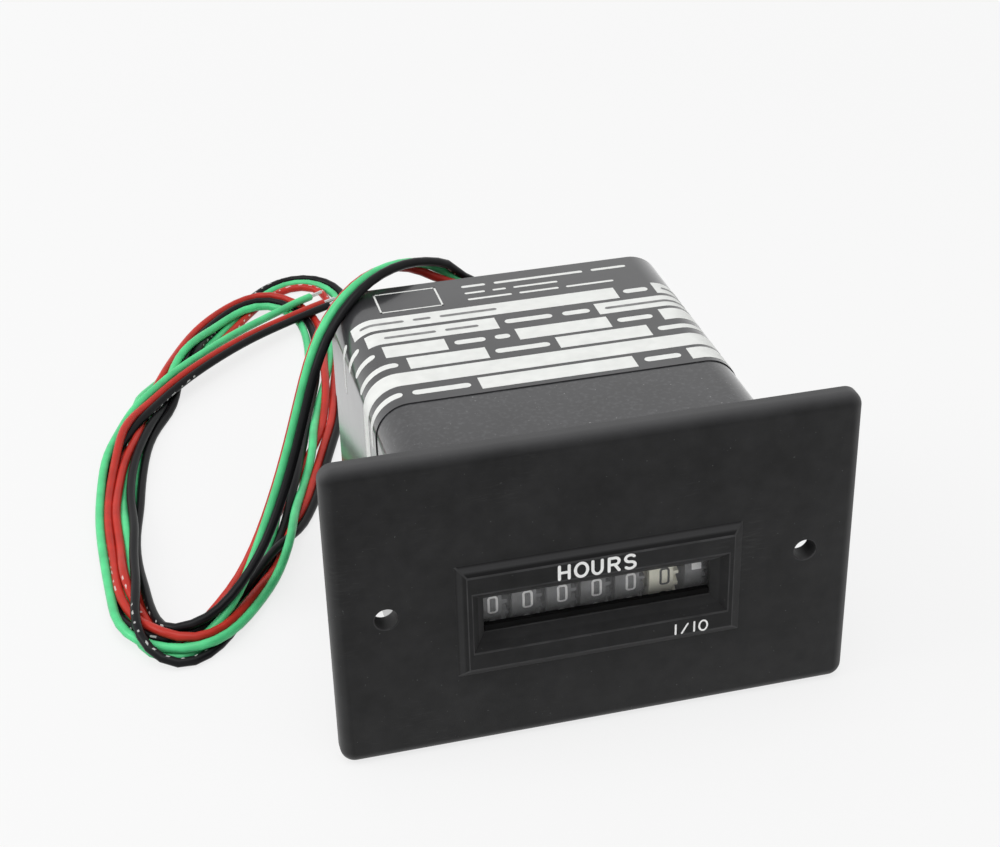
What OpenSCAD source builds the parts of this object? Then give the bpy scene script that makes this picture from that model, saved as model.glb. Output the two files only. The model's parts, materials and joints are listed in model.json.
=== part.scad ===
// Panel-mounted hour meter: a moulded bezel with a number-wheel window, a deep moulded case,
// a geared counter driven by a small gearmotor, a circuit board and three free hook-up leads.
// X runs to the right, Y into the panel and Z up. The origin is the middle of the bezel's rear face.

/* [Bezel] */
// Width of the front plate
plate_w = 76.2; // [74:0.1:90]
// Height of the front plate
plate_h = 48.6; // [46:0.1:60]
// Thickness of the front plate
plate_t = 3.2; // [3:0.1:4.5]
// Corner radius of the front plate
plate_corner_r = 2.2; // [2:0.1:6]
// Rounding of the plate's front edges
plate_edge_r = 1.8; // [0.8:0.1:1.9]
// Distance between the two panel screw holes
hole_spacing = 61; // [60:0.5:66]
// Diameter of the panel screw holes
hole_d = 3.3; // [3:0.1:4.5]

/* [Window] */
// Height of the window's middle above the middle of the plate
window_z = -2.5; // [-4:0.1:0]
// Width of the raised frame's front face
frame_w = 38.6; // [38.4:0.1:42]
// Height of the raised frame's front face
frame_h = 15.6; // [11:0.1:18]
// How far the frame stands out of the plate
frame_rise = 1.2; // [0.6:0.1:2]
// How much wider the frame's foot is on each side
frame_slope = 1.5; // [0.5:0.1:2]
// Width of the slot that shows the wheels
slot_w = 33.2; // [30:0.1:34]
// Height of the slot that shows the wheels
slot_h = 5.65; // [4.8:0.05:6]
// Bevel from the frame's front to the slot, on each side
bevel_w = 2.1; // [1:0.1:2.2]
// Bevel from the frame's front to the slot, above it
bevel_top = 2.4; // [1:0.1:2.6]
// Bevel from the frame's front to the slot, below it
bevel_low = 1.85; // [1:0.05:2.4]
// Depth of the bevelled recess
recess_depth = 2.4; // [1.5:0.1:2.6]
// Thickness of the clear lens
lens_t = 0.8; // [0.6:0.1:1]
// How far the lens reaches past the slot all round
lens_seat = 1; // [0.6:0.1:1.4]

/* [Case] */
// Width of the case
case_w = 54; // [52:0.5:58]
// Height of the case
case_h = 43; // [42:0.5:45]
// Depth of the case behind the plate
case_d = 54.8; // [54:0.5:70]
// Radius of the case's long edges
case_r = 5; // [4:0.5:7]
// Wall of the case
case_wall = 1.8; // [1.4:0.1:2]
// Thickness of the rear cover
cover_t = 2.2; // [1.6:0.1:3]
// Length of the bezel's spigot inside the case
spigot_len = 3; // [2:0.5:4]
// Wall of the bezel's spigot
spigot_wall = 1.2; // [0.8:0.1:1.3]

/* [Label] */
// Distance from the plate to the label's front edge
label_front = 17.1; // [10:0.1:25]
// Bare strip of case behind the label
label_back_gap = 0.6; // [0.2:0.1:3]
// Height of the label's lower edges above the case's middle
label_low = 4; // [-10:0.5:10]
// Thickness of the label film
label_t = 0.15; // [0.1:0.05:0.3]

/* [Counter] */
// Radius of the number wheels
wheel_r = 7; // [6.6:0.05:7.2]
// Distance between neighbouring number wheels
wheel_pitch = 5.08; // [5:0.02:5.2]
// Place of the first wheel's figure, measured from the middle
first_figure_x = -14.75; // [-15.5:0.05:-14.5]
// Height of the wheel axis below the middle of the window
wheel_drop = 0.7; // [0:0.1:1]
// Radius of the wheel shaft
wheel_shaft_r = 0.75; // [0.6:0.05:0.8]
// Radius of the transfer pinions' shaft
pinion_shaft_r = 0.5; // [0.4:0.05:0.6]
// Radius of the layshaft
lay_shaft_r = 0.6; // [0.5:0.05:0.7]
// Sheet thickness of the counter frame
sheet_t = 1; // [0.8:0.1:1.2]

/* [Drive] */
// Radius of the gearmotor
motor_r = 10; // [9.5:0.1:10.4]
// Length of the gearmotor
motor_len = 4.4; // [3.5:0.1:4.4]
// Radius of the gearmotor's output shaft
motor_shaft_r = 0.6; // [0.5:0.05:0.7]

/* [Electronics] */
// Width of the circuit board
board_w = 44; // [43.5:0.5:46]
// Height of the circuit board
board_h = 32; // [30:0.5:34]
// Thickness of the circuit board
board_t = 1.6; // [1:0.1:2]
// Length of the standoffs behind the board
standoff_len = 15; // [13:0.5:16]

/* [Leads] */
// Outside diameter of a lead
lead_d = 1.5; // [1.3:0.1:1.7]
// Distance of each lead from the middle of the bundle
bundle_r = 1; // [1:0.05:1.2]
// Radius of the hole in the rear cover for the grommet
grommet_hole_r = 4; // [3.5:0.1:5]

/* [Hidden] */
$fn = 64;

// Colours
plastic_black = "#2b2b2c";
label_black = "#38393b";
wheel_black = "#1d1d1e";
wheel_cream = "#e6dfc6";
steel = "#b9bcc0";
brass = "#b99a55";
board_green = "#2f6b45";

// Clearances
eps = 0.01;
running_gap = 0.05;
fixed_gap = 0.02;
fit_gap = 0.15;
side_gap = 0.1;
screw_end_gap = 0.5;

// Bezel and window
front_y = -plate_t;
edge_steps = 8;
frame_front_y = front_y - frame_rise;
slot_y = frame_front_y + recess_depth;
slot_lip = 1;
slot_z = window_z - (bevel_top - bevel_low) / 2;
lens_y = slot_y + slot_lip;
lens_w = slot_w + 2 * lens_seat;
lens_h = slot_h + 2 * lens_seat;

// Case
inner_w = case_w - 2 * case_wall;
inner_h = case_h - 2 * case_wall;
inner_r = case_r - case_wall;
spigot_w = inner_w - 2 * fit_gap;
spigot_h = inner_h - 2 * fit_gap;
cover_y = case_d - cover_t;
post_r = 3;
post_len = 12.6;
post_overlap = 0.3;
post_x = inner_w / 2 - post_r + post_overlap;
post_z = inner_h / 2 - post_r + post_overlap;
cover_screw_r = 1.2;
cover_screw_len = 8;

// Wheels, from the left: five black wheels and the tenths wheel
wheel_front_gap = 0.3;
axis_y = wheel_front_gap + wheel_r;
axis_z = window_z - wheel_drop;
wheel_count = 6;
tenths_x = first_figure_x + (wheel_count - 1) * wheel_pitch;
rim_left = 2.3;
rim_right = 1.3;
rim_t = 1;
web_t = 1;
hub_r = 1.8;
gear_t = 0.8;
carry_t = 0.5;
carry_r = 4.9;
carry_rise = 0.7;
carry_root = 0.5;
carry_tooth_w = 0.7;
carry_angle = -50;
wheel_right = rim_right + gear_t;
wheel_left = rim_left + carry_t;

// Gears: teeth, modules and the shape of the stub teeth in modules and parts of a pitch
addendum = 0.75;
dedendum = 1;
root_half = 0.3;
tip_half = 0.11;
wheel_teeth = 20;
pinion_teeth = 8;
transfer_module = 0.64;
lay_pinion_teeth = 10;
lay_teeth = 30;
hub_teeth = 10;
lay_module = 0.48;
indicator_teeth = 24;
motor_teeth = 12;
motor_module = 0.5;
mesh_gap = 0.06;
transfer_angle = 50;
lay_angle = -40;
motor_angle = 0;
transfer_c = transfer_module * (wheel_teeth + pinion_teeth) / 2 + mesh_gap;
lay_c = transfer_module * (wheel_teeth + lay_pinion_teeth) / 2 + mesh_gap;
motor_c = motor_module * (indicator_teeth + motor_teeth) / 2 + mesh_gap;
transfer_y = axis_y + transfer_c * cos(transfer_angle);
transfer_z = axis_z + transfer_c * sin(transfer_angle);
lay_y = axis_y + lay_c * cos(lay_angle);
lay_z = axis_z + lay_c * sin(lay_angle);
motor_y = axis_y + motor_c * cos(motor_angle);
motor_z = axis_z + motor_c * sin(motor_angle);

// Running indicator and layshaft, from left to right
indicator_hub_x = tenths_x + wheel_right + side_gap;
hub_pinion_w = 0.9;
indicator_rim_x = indicator_hub_x + hub_pinion_w;
indicator_rim_w = 2.6;
indicator_hub_w = 0.7;
indicator_gear_x = indicator_rim_x + indicator_rim_w;
indicator_end = indicator_gear_x + gear_t + indicator_hub_w;
lay_pinion_x = tenths_x + rim_right + side_gap;
lay_gear_x = tenths_x + wheel_right + 2 * side_gap;
lay_gear_w = 0.7;
lay_hub_r = 1.1;
lay_head_t = 0.5;
lay_head_r = 1;
lay_start = lay_pinion_x - side_gap - lay_head_t;

// Counter frame
end_play = 0.3;
cheek_left = first_figure_x - wheel_left - end_play;
cheek_right = indicator_end + end_play;
cheek_front = 0.6;
cheek_below = 14;
cheek_above = 13.2;
cheek_cut = 3.5;
cheek_low = axis_z - cheek_below;
cheek_top = axis_z + cheek_above;
cheek_rear_top = cheek_top - cheek_cut;
lay_tip_r = lay_module * (lay_teeth / 2 + addendum);
bridge_gap = 0.8;
bridge_y = lay_y + lay_tip_r + bridge_gap;
cheek_rear = bridge_y + sheet_t;
bridge_h = 8;
ear_y = 2.2;
ear_w = 4.3;
ear_h = 5.4;
ear_z = cheek_top - ear_h / 2;
ear_screw_left = cheek_left - sheet_t - ear_w / 2;
ear_screw_right = cheek_right + sheet_t + ear_w / 2;
boss_r = 2.1;
boss_hole_r = 0.85;
boss_hole_depth = 3;
ear_screw_r = 0.8;

// Gearmotor
motor_x = cheek_right + sheet_t;
motor_bore_depth = 3;
motor_hole_gap = 0.4;
motor_hole_r = motor_shaft_r + motor_hole_gap;
pinion_nose = 0.4;
motor_screw_reach = 8.4;
motor_screw_r = 0.7;
terminal_reach = 2;
terminal_y = motor_y + motor_r + terminal_reach;
terminal_w = 2.4;
terminal_x = motor_x + (motor_len - terminal_w) / 2;
terminal_h = 6;
motor_lead_r = 0.5;
motor_lead_gap = 2.5;

// Circuit board, carried by the rear cover
board_y = cover_y - standoff_len - board_t;
standoff_x = 16;
standoff_z = 11.5;
standoff_r = 2.6;
board_screw_r = 0.9;
board_screw_len = 6;
pan_head = 1.2;

// Parts on the board's front face
chip_w = 19;
chip_h = 6.4;
chip_t = 3.2;
chip_lift = 0.6;
chip_x = 7;
chip_z = -4.8;
leg_pitch = 2.54;
leg_count = 7;
leg_w = 0.5;
crystal_w = 11;
crystal_h = 4.6;
crystal_t = 3.6;
crystal_r = 2.2;
crystal_x = 7;
crystal_z = 6;
capacitor_r = 5;
capacitor_len = 13;
capacitor_x = -9;
capacitor_z = 4;
diode_r = 1.3;
diode_len = 5;
diode_span = 8;
diode_wire_r = 0.35;
diode_x = -8;
diode_first_z = -5;
diode_pitch = 3.4;
diode_count = 3;
diode_lift = 1.8;

// Leads: the bundle's middle from the grommet to the coil, over the case's left rear corner
grommet_x = 4;
grommet_z = 8;
grommet_lip = 1.5;
grommet_bevel = 1;
grommet_flange_r = grommet_hole_r + grommet_lip;
grommet_flange_t = 1.8;
grommet_inner_t = 1.2;
lead_exit_y = case_d + grommet_flange_t;
lead_exit = [grommet_x, lead_exit_y, grommet_z];
lead_corner = [-case_w / 2, case_d, case_h / 2];
exit_way = [0, 1, 0];
from_exit = [[0, 0, 0], [0, 3.5, 0.5], [-2, 7.5, 4]];
from_corner = [
    [25, 11, -4.5], [17, 10.5, 0], [11, 5.5, 2], [6, -0.5, 2.5], [1, -6, 1], [-2.5, -7.5, -3],
    [-6, -9, -11.5], [-11, -12, -24.5], [-15.5, -16, -33], [-20, -19, -38.5], [-24, -22, -41.5]
];
lead_route = concat([for (p = from_exit) lead_exit + p], [for (p = from_corner) lead_corner + p]);
route_steps = 2;
lead_sides = 8;
lead_count = 3;
bundle_start = 180;
bundle_twist = -10;

// Coil of leads: an oval that lies where the case and the plate's lower edge would stand
rest_tilt = atan((plate_h - case_h) / 2 / case_d);
coil_x = -44.5;
coil_y = 85;
coil_turn = 16;
coil_long = 60;
coil_short = 14.5;
coil_band = 10;
coil_h = 5;
oval_power = 2.4;
oval_points = 48;

// A flat shape in X and Z, made solid from y0 to y1
module slab(y0, y1) {
    translate([0, y1, 0])
        rotate([90, 0, 0])
            linear_extrude(y1 - y0)
                children();
}

// A flat shape in Y and Z, made solid from x0 to x1
module along_x(x0, x1) {
    translate([x0, 0, 0])
        rotate([90, 0, 90])
            linear_extrude(x1 - x0)
                children();
}

// A round bar along X
module bar_x(x0, x1, y, z, r) {
    translate([x0, y, z])
        rotate([0, 90, 0])
            cylinder(h = x1 - x0, r = r);
}

// A round bar along Y
module bar_y(y0, y1, x, z, r) {
    translate([x, y0, z])
        rotate([-90, 0, 0])
            cylinder(h = y1 - y0, r = r);
}

// A solid of revolution about a line along X, from a profile in radius and X
module turned_x(y, z) {
    translate([0, y, z])
        rotate([90, 0, 90])
            rotate_extrude()
                children();
}

// A rectangle with round corners
module round_rect(w, h, r) {
    square([w - 2 * r, h], center = true);
    square([w, h - 2 * r], center = true);
    for (sx = [-1, 1], sz = [-1, 1])
        translate([sx * (w / 2 - r), sz * (h / 2 - r)])
            circle(r);
}

// Copies at the four corners of a rectangle in X and Z
module at_corners(x, z) {
    for (sx = [-1, 1], sz = [-1, 1])
        translate([sx * x, 0, sz * z])
            children();
}

// A bevelled block that narrows towards the rear
module bevelled_block(y0, y1, w0, h0, w1, h1) {
    translate([0, y0, window_z])
        rotate([90, 0, 0])
            mirror([0, 0, 1])
                linear_extrude(y1 - y0, scale = [w1 / w0, h1 / h0], slices = 1, $fn = 4)
                    square([w0, h0], center = true);
}

// A pan-head screw along Y with its head towards the rear
module pan_screw_rear(head_y, len, r) {
    bar_y(head_y - len, head_y + eps, 0, 0, r);
    bar_y(head_y, head_y + pan_head, 0, 0, 2 * r);
}

// A pan-head screw along Y with its head towards the front
module pan_screw_front(head_y, len, r) {
    bar_y(head_y - eps, head_y + len, 0, 0, r);
    bar_y(head_y - pan_head, head_y, 0, 0, 2 * r);
}

// The outline of a gear with plain stub teeth, one tooth pointing at the angle phase
function gear_outline(teeth, mod, phase) = [
    for (k = [0 : teeth - 1])
        for (p = [
            [-dedendum, -root_half], [addendum, -tip_half], [addendum, tip_half], [-dedendum, root_half]
        ])
            let (r = mod * (teeth / 2 + p[0]), a = phase + (k + p[1]) * 360 / teeth)
            [r * cos(a), r * sin(a)]
];

module gear(x0, x1, y, z, teeth, mod, phase) {
    translate([0, y, z])
        along_x(x0, x1)
            polygon(gear_outline(teeth, mod, phase));
}

// The phase of a gear whose gap faces a tooth of its mate, which lies in the direction angle from it
function mesh_phase(angle, teeth) = angle + 180 + 180 / teeth;

// Curves for the leads
function unit(v) = v / norm(v);

function spline_point(p, i, t) =
    let (a = p[max(i - 1, 0)], b = p[i], c = p[i + 1], d = p[min(i + 2, len(p) - 1)])
    0.5 * (2 * b + (c - a) * t + (2 * a - 5 * b + 4 * c - d) * t * t + (3 * b - a - 3 * c + d) * t * t * t);

function spline(p, steps) = concat(
    [for (i = [0 : len(p) - 2]) for (s = [0 : steps - 1]) spline_point(p, i, s / steps)],
    [p[len(p) - 1]]
);

function heading(c, i) = i == 0 ? exit_way : unit(c[min(i + 1, len(c) - 1)] - c[i - 1]);

// A direction across the curve that turns as little as possible from point to point
function across(c, i) = i == 0
    ? [1, 0, 0]
    : let (t = heading(c, i), v = across(c, i - 1)) unit(v - (v * t) * t);

function ring_point(c, i, r, a) =
    let (n = across(c, i), b = cross(heading(c, i), n))
    c[i] + r * (cos(a) * n + sin(a) * b);

function strand(k) = let (c = spline(lead_route, route_steps))
    [for (i = [0 : len(c) - 1])
        ring_point(c, i, bundle_r, bundle_start + k * 360 / lead_count + bundle_twist * i)];

module tube(c, r, sides) {
    last = len(c) - 1;
    rings = [for (i = [0 : last]) for (k = [0 : sides - 1]) ring_point(c, i, r, k * 360 / sides)];
    walls = [for (i = [0 : last - 1]) for (k = [0 : sides - 1])
        let (a = i * sides + k, b = i * sides + (k + 1) % sides)
        each [[a, a + sides, b], [b, a + sides, b + sides]]];
    first_cap = [for (k = [0 : sides - 1]) k];
    last_cap = [for (k = [sides - 1 : -1 : 0]) last * sides + k];
    polyhedron(concat(rings), concat(walls, [first_cap], [last_cap]));
}

// An oval with flattened sides
function oval(a, b) = [
    for (k = [0 : oval_points - 1])
        let (t = k * 360 / oval_points, c = cos(t), s = sin(t))
        [b * sign(c) * pow(abs(c), 2 / oval_power), a * sign(s) * pow(abs(s), 2 / oval_power)]
];

// Bezel with its raised frame, bevelled recess, spigot and the counter's two bosses
module plate_corner() {
    flat_r = plate_corner_r - plate_edge_r;
    flat_t = plate_t - plate_edge_r;
    edge = [
        for (a = [0 : 90 / edge_steps : 90])
            [flat_r + plate_edge_r * cos(a), flat_t + plate_edge_r * sin(a)]
    ];
    rotate_extrude($fn = 48)
        polygon(concat([[0, 0], [plate_corner_r, 0]], edge, [[0, plate_t]]));
}

module plate_blank() {
    hull()
        for (sx = [-1, 1], sz = [-1, 1])
            translate([sx * (plate_w / 2 - plate_corner_r), 0, sz * (plate_h / 2 - plate_corner_r)])
                rotate([90, 0, 0])
                    plate_corner();
}

module window_recess() {
    hull() {
        translate([0, 0, window_z])
            slab(frame_front_y - eps, frame_front_y)
                square([slot_w + 2 * bevel_w, slot_h + bevel_top + bevel_low], center = true);
        translate([0, 0, slot_z])
            slab(slot_y - eps, slot_y)
                square([slot_w, slot_h], center = true);
    }
}

module front_bezel() {
    color(plastic_black)
        difference() {
            union() {
                plate_blank();
                bevelled_block(frame_front_y, front_y + eps, frame_w, frame_h,
                    frame_w + 2 * frame_slope, frame_h + 2 * frame_slope);
                slab(-eps, spigot_len)
                    difference() {
                        round_rect(spigot_w, spigot_h, inner_r);
                        round_rect(spigot_w - 2 * spigot_wall, spigot_h - 2 * spigot_wall,
                            inner_r - spigot_wall);
                    }
                bar_y(-eps, ear_y, ear_screw_left, ear_z, boss_r);
                bar_y(-eps, ear_y, ear_screw_right, ear_z, boss_r);
            }
            window_recess();
            translate([0, 0, slot_z]) {
                slab(slot_y - eps, lens_y + eps)
                    square([slot_w, slot_h], center = true);
                slab(lens_y, eps)
                    square([lens_w + 2 * fit_gap, lens_h + 2 * fit_gap], center = true);
            }
            for (sx = [-1, 1])
                bar_y(front_y - eps, eps, sx * hole_spacing / 2, 0, hole_d / 2);
            bar_y(ear_y - boss_hole_depth, ear_y + eps, ear_screw_left, ear_z, boss_hole_r);
            bar_y(ear_y - boss_hole_depth, ear_y + eps, ear_screw_right, ear_z, boss_hole_r);
        }
}

module window_lens() {
    color("#dfe6e8", 0.35)
        translate([0, 0, slot_z])
            slab(lens_y, lens_y + lens_t)
                square([lens_w, lens_h], center = true);
}

// Case open at both ends, with four screw posts for the rear cover
module case_shell() {
    color(plastic_black)
        difference() {
            union() {
                slab(0, case_d)
                    difference() {
                        round_rect(case_w, case_h, case_r);
                        round_rect(inner_w, inner_h, inner_r);
                    }
                at_corners(post_x, post_z)
                    bar_y(cover_y - post_len, cover_y, 0, 0, post_r);
            }
            at_corners(post_x, post_z)
                bar_y(cover_y - cover_screw_len - screw_end_gap, cover_y + eps, 0, 0,
                    cover_screw_r + fixed_gap);
        }
}

module rear_cover() {
    color(plastic_black)
        difference() {
            slab(cover_y, case_d)
                round_rect(spigot_w, spigot_h, inner_r);
            at_corners(post_x, post_z)
                bar_y(cover_y - eps, case_d + eps, 0, 0, cover_screw_r + fit_gap);
            bar_y(cover_y - eps, case_d + eps, grommet_x, grommet_z, grommet_hole_r);
        }
}

module cover_screws() {
    color(steel)
        at_corners(post_x, post_z)
            pan_screw_rear(case_d, cover_t + cover_screw_len, cover_screw_r);
}

module cable_grommet() {
    color("#1b1b1b")
        translate([grommet_x, 0, grommet_z])
            rotate([-90, 0, 0])
                rotate_extrude()
                    polygon([
                        [0, cover_y - grommet_inner_t], [grommet_flange_r, cover_y - grommet_inner_t],
                        [grommet_flange_r, cover_y], [grommet_hole_r, cover_y], [grommet_hole_r, case_d],
                        [grommet_flange_r, case_d], [grommet_flange_r - grommet_bevel, lead_exit_y],
                        [0, lead_exit_y]
                    ]);
}

// Film over the case's top and down both sides
module data_label() {
    color(label_black)
        slab(label_front, case_d - label_back_gap)
            intersection() {
                difference() {
                    round_rect(case_w + 2 * label_t, case_h + 2 * label_t, case_r + label_t);
                    round_rect(case_w, case_h, case_r);
                }
                translate([-case_w, label_low])
                    square([2 * case_w, case_h]);
            }
}

// Sheet-metal frame of the counter: two cheeks, a rear bridge and two bent ears
module cheek(x0) {
    along_x(x0, x0 + sheet_t)
        polygon([
            [cheek_front, cheek_low], [cheek_rear, cheek_low], [cheek_rear, cheek_rear_top],
            [cheek_front + ear_h, cheek_top], [cheek_front, cheek_top]
        ]);
}

module counter_frame() {
    color(steel)
        difference() {
            union() {
                cheek(cheek_left - sheet_t);
                cheek(cheek_right);
                translate([cheek_left - sheet_t, bridge_y, cheek_low])
                    cube([cheek_right - cheek_left + 2 * sheet_t, sheet_t, bridge_h]);
                for (x0 = [cheek_left - sheet_t - ear_w, cheek_right])
                    translate([x0, ear_y, cheek_top - ear_h])
                        cube([ear_w + sheet_t, sheet_t, ear_h]);
            }
            bar_x(cheek_left - 2 * sheet_t, cheek_right + 2 * sheet_t, axis_y, axis_z,
                wheel_shaft_r + fixed_gap);
            bar_x(cheek_left - 2 * sheet_t, cheek_right + 2 * sheet_t, transfer_y, transfer_z,
                pinion_shaft_r + fixed_gap);
            bar_x(cheek_right - eps, cheek_right + sheet_t + eps, lay_y, lay_z, lay_shaft_r + fixed_gap);
            bar_x(cheek_right - eps, cheek_right + sheet_t + eps, motor_y, motor_z, motor_hole_r);
            for (s = [-1, 1])
                bar_x(cheek_right - eps, cheek_right + sheet_t + eps, motor_y,
                    motor_z + s * motor_screw_reach, motor_screw_r + fit_gap);
            for (x = [ear_screw_left, ear_screw_right])
                bar_y(ear_y - eps, ear_y + sheet_t + eps, x, ear_z, ear_screw_r + fit_gap);
        }
}

module counter_screws() {
    color(steel)
        for (x = [ear_screw_left, ear_screw_right])
            translate([x, 0, ear_z])
                pan_screw_rear(ear_y + sheet_t, sheet_t + boss_hole_depth - screw_end_gap, ear_screw_r);
}

module wheel_shaft() {
    color(steel)
        bar_x(cheek_left - sheet_t, cheek_right + sheet_t - side_gap, axis_y, axis_z, wheel_shaft_r);
}

// A number wheel: rim, web, hub, a full gear on its right and a carry disc with two short teeth on its left
module number_wheel(i, tint) {
    x = first_figure_x + i * wheel_pitch;
    color(tint)
        difference() {
            union() {
                turned_x(axis_y, axis_z)
                    polygon([
                        [0, x - wheel_left], [carry_r, x - wheel_left], [carry_r, x - rim_left + web_t],
                        [wheel_r - rim_t, x - rim_left + web_t], [wheel_r - rim_t, x - rim_left],
                        [wheel_r, x - rim_left], [wheel_r, x + rim_right], [0, x + rim_right]
                    ]);
                gear(x + rim_right - eps, x + wheel_right, axis_y, axis_z, wheel_teeth, transfer_module,
                    transfer_angle);
                for (side = [-1, 1])
                    translate([x - wheel_left + side_gap, axis_y, axis_z])
                        rotate([180 + carry_angle + side * 180 / wheel_teeth, 0, 0])
                            translate([0, carry_r - carry_root, -carry_tooth_w / 2])
                                cube([carry_t - 2 * side_gap, carry_rise + carry_root, carry_tooth_w]);
            }
            bar_x(x - wheel_left - eps, x + wheel_right + eps, axis_y, axis_z, wheel_shaft_r + running_gap);
        }
}

// Running indicator: hub pinion, drum and drive gear in one piece
module run_indicator() {
    color(wheel_black)
        difference() {
            union() {
                gear(indicator_hub_x, indicator_rim_x + eps, axis_y, axis_z, hub_teeth, lay_module,
                    lay_angle);
                turned_x(axis_y, axis_z)
                    polygon([
                        [0, indicator_rim_x], [wheel_r, indicator_rim_x], [wheel_r, indicator_gear_x],
                        [hub_r, indicator_gear_x], [hub_r, indicator_end], [0, indicator_end]
                    ]);
                gear(indicator_gear_x - eps, indicator_gear_x + gear_t, axis_y, axis_z, indicator_teeth,
                    motor_module, motor_angle);
            }
            bar_x(indicator_hub_x - eps, indicator_end + eps, axis_y, axis_z, wheel_shaft_r + running_gap);
        }
}

module pinion_shaft() {
    color(steel)
        bar_x(cheek_left - sheet_t, cheek_right + sheet_t - side_gap, transfer_y, transfer_z, pinion_shaft_r);
}

// The pinion that carries from wheel i + 1 to wheel i
module transfer_pinion(i) {
    x0 = first_figure_x + i * wheel_pitch + rim_right + side_gap;
    x1 = first_figure_x + (i + 1) * wheel_pitch - rim_left - side_gap;
    color(wheel_cream)
        difference() {
            gear(x0, x1, transfer_y, transfer_z, pinion_teeth, transfer_module,
                mesh_phase(transfer_angle, pinion_teeth));
            bar_x(x0 - eps, x1 + eps, transfer_y, transfer_z, pinion_shaft_r + running_gap);
        }
}

module lay_shaft() {
    color(steel) {
        bar_x(lay_start, cheek_right + sheet_t - side_gap, lay_y, lay_z, lay_shaft_r);
        bar_x(lay_start, lay_start + lay_head_t, lay_y, lay_z, lay_head_r);
    }
}

// Layshaft cluster: small pinion to the tenths wheel, large gear from the indicator, long hub to the cheek
module lay_gear() {
    color(brass)
        difference() {
            union() {
                gear(lay_pinion_x, lay_gear_x + eps, lay_y, lay_z, lay_pinion_teeth, transfer_module,
                    mesh_phase(lay_angle, lay_pinion_teeth));
                gear(lay_gear_x, lay_gear_x + lay_gear_w, lay_y, lay_z, lay_teeth, lay_module,
                    mesh_phase(lay_angle, lay_teeth));
                bar_x(lay_gear_x, cheek_right - side_gap, lay_y, lay_z, lay_hub_r);
            }
            bar_x(lay_pinion_x - eps, cheek_right, lay_y, lay_z, lay_shaft_r + running_gap);
        }
}

// Sealed gearmotor with its terminal block
module gearmotor() {
    color(steel)
        difference() {
            union() {
                bar_x(motor_x, motor_x + motor_len, motor_y, motor_z, motor_r);
                translate([terminal_x, motor_y, motor_z - terminal_h / 2])
                    cube([terminal_w, terminal_y - motor_y, terminal_h]);
            }
            bar_x(motor_x - eps, motor_x + motor_bore_depth, motor_y, motor_z, motor_shaft_r + running_gap);
            for (s = [-1, 1])
                bar_x(motor_x - eps, motor_x + motor_bore_depth, motor_y, motor_z + s * motor_screw_reach,
                    motor_screw_r + fixed_gap);
        }
}

module motor_screws() {
    color(steel)
        for (s = [-1, 1]) {
            z = motor_z + s * motor_screw_reach;
            bar_x(cheek_right - eps, motor_x + motor_bore_depth - screw_end_gap, motor_y, z, motor_screw_r);
            bar_x(cheek_right - pan_head, cheek_right, motor_y, z, 2 * motor_screw_r);
        }
}

module motor_pinion() {
    color(brass) {
        gear(indicator_gear_x, indicator_gear_x + gear_t, motor_y, motor_z, motor_teeth, motor_module,
            mesh_phase(motor_angle, motor_teeth));
        bar_x(indicator_gear_x - pinion_nose, motor_x + motor_bore_depth - side_gap, motor_y, motor_z,
            motor_shaft_r);
    }
}

module circuit_board() {
    color(board_green)
        difference() {
            slab(board_y, board_y + board_t)
                square([board_w, board_h], center = true);
            at_corners(standoff_x, standoff_z)
                bar_y(board_y - eps, board_y + board_t + eps, 0, 0, board_screw_r + fit_gap);
        }
}

module board_standoffs() {
    color(brass)
        at_corners(standoff_x, standoff_z)
            difference() {
                translate([0, board_y + board_t, 0])
                    rotate([-90, 0, 0])
                        cylinder(h = standoff_len, r = standoff_r, $fn = 6);
                bar_y(board_y, board_y + board_t + board_screw_len, 0, 0, board_screw_r + fixed_gap);
            }
}

module board_screws() {
    color(steel)
        at_corners(standoff_x, standoff_z)
            pan_screw_front(board_y, board_t + board_screw_len - screw_end_gap, board_screw_r);
}

// Dual in-line chip: body on two rows of legs
module control_chip() {
    color("#1a1a1a") {
        translate([chip_x - chip_w / 2, board_y - chip_lift - chip_t, chip_z - chip_h / 2])
            cube([chip_w, chip_t, chip_h]);
        for (k = [0 : leg_count - 1], s = [-1, 1])
            translate([chip_x + (k - (leg_count - 1) / 2) * leg_pitch - leg_w / 2,
                board_y - chip_lift - chip_t / 2, chip_z + s * (chip_h / 2) - leg_w / 2])
                cube([leg_w, chip_lift + chip_t / 2, leg_w]);
    }
}

module crystal_can() {
    color(steel)
        translate([crystal_x, 0, crystal_z])
            slab(board_y - crystal_t, board_y)
                round_rect(crystal_w, crystal_h, crystal_r);
}

module filter_capacitor() {
    color("#2a3f63")
        bar_y(board_y - capacitor_len, board_y, capacitor_x, capacitor_z, capacitor_r);
}

module rectifier_diodes() {
    color("#262626")
        for (k = [0 : diode_count - 1]) {
            z = diode_first_z - k * diode_pitch;
            bar_x(diode_x - diode_len / 2, diode_x + diode_len / 2, board_y - diode_lift, z, diode_r);
            bar_x(diode_x - diode_span / 2, diode_x + diode_span / 2, board_y - diode_lift, z, diode_wire_r);
            for (s = [-1, 1])
                bar_y(board_y - diode_lift, board_y, diode_x + s * (diode_span / 2 - diode_wire_r), z,
                    diode_wire_r);
        }
}

module motor_leads() {
    color("#b8352c")
        for (s = [-1, 1])
            bar_y(terminal_y, board_y, terminal_x + terminal_w / 2, motor_z + s * motor_lead_gap / 2,
                motor_lead_r);
}

// The leads' inner ends, straight from the grommet to the board
module inner_leads() {
    color("#8a8d90")
        for (k = [0 : lead_count - 1]) {
            start = strand(k)[0];
            bar_y(board_y + board_t, cover_y - grommet_inner_t, start[0], start[2], lead_d / 2);
        }
}

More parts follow.
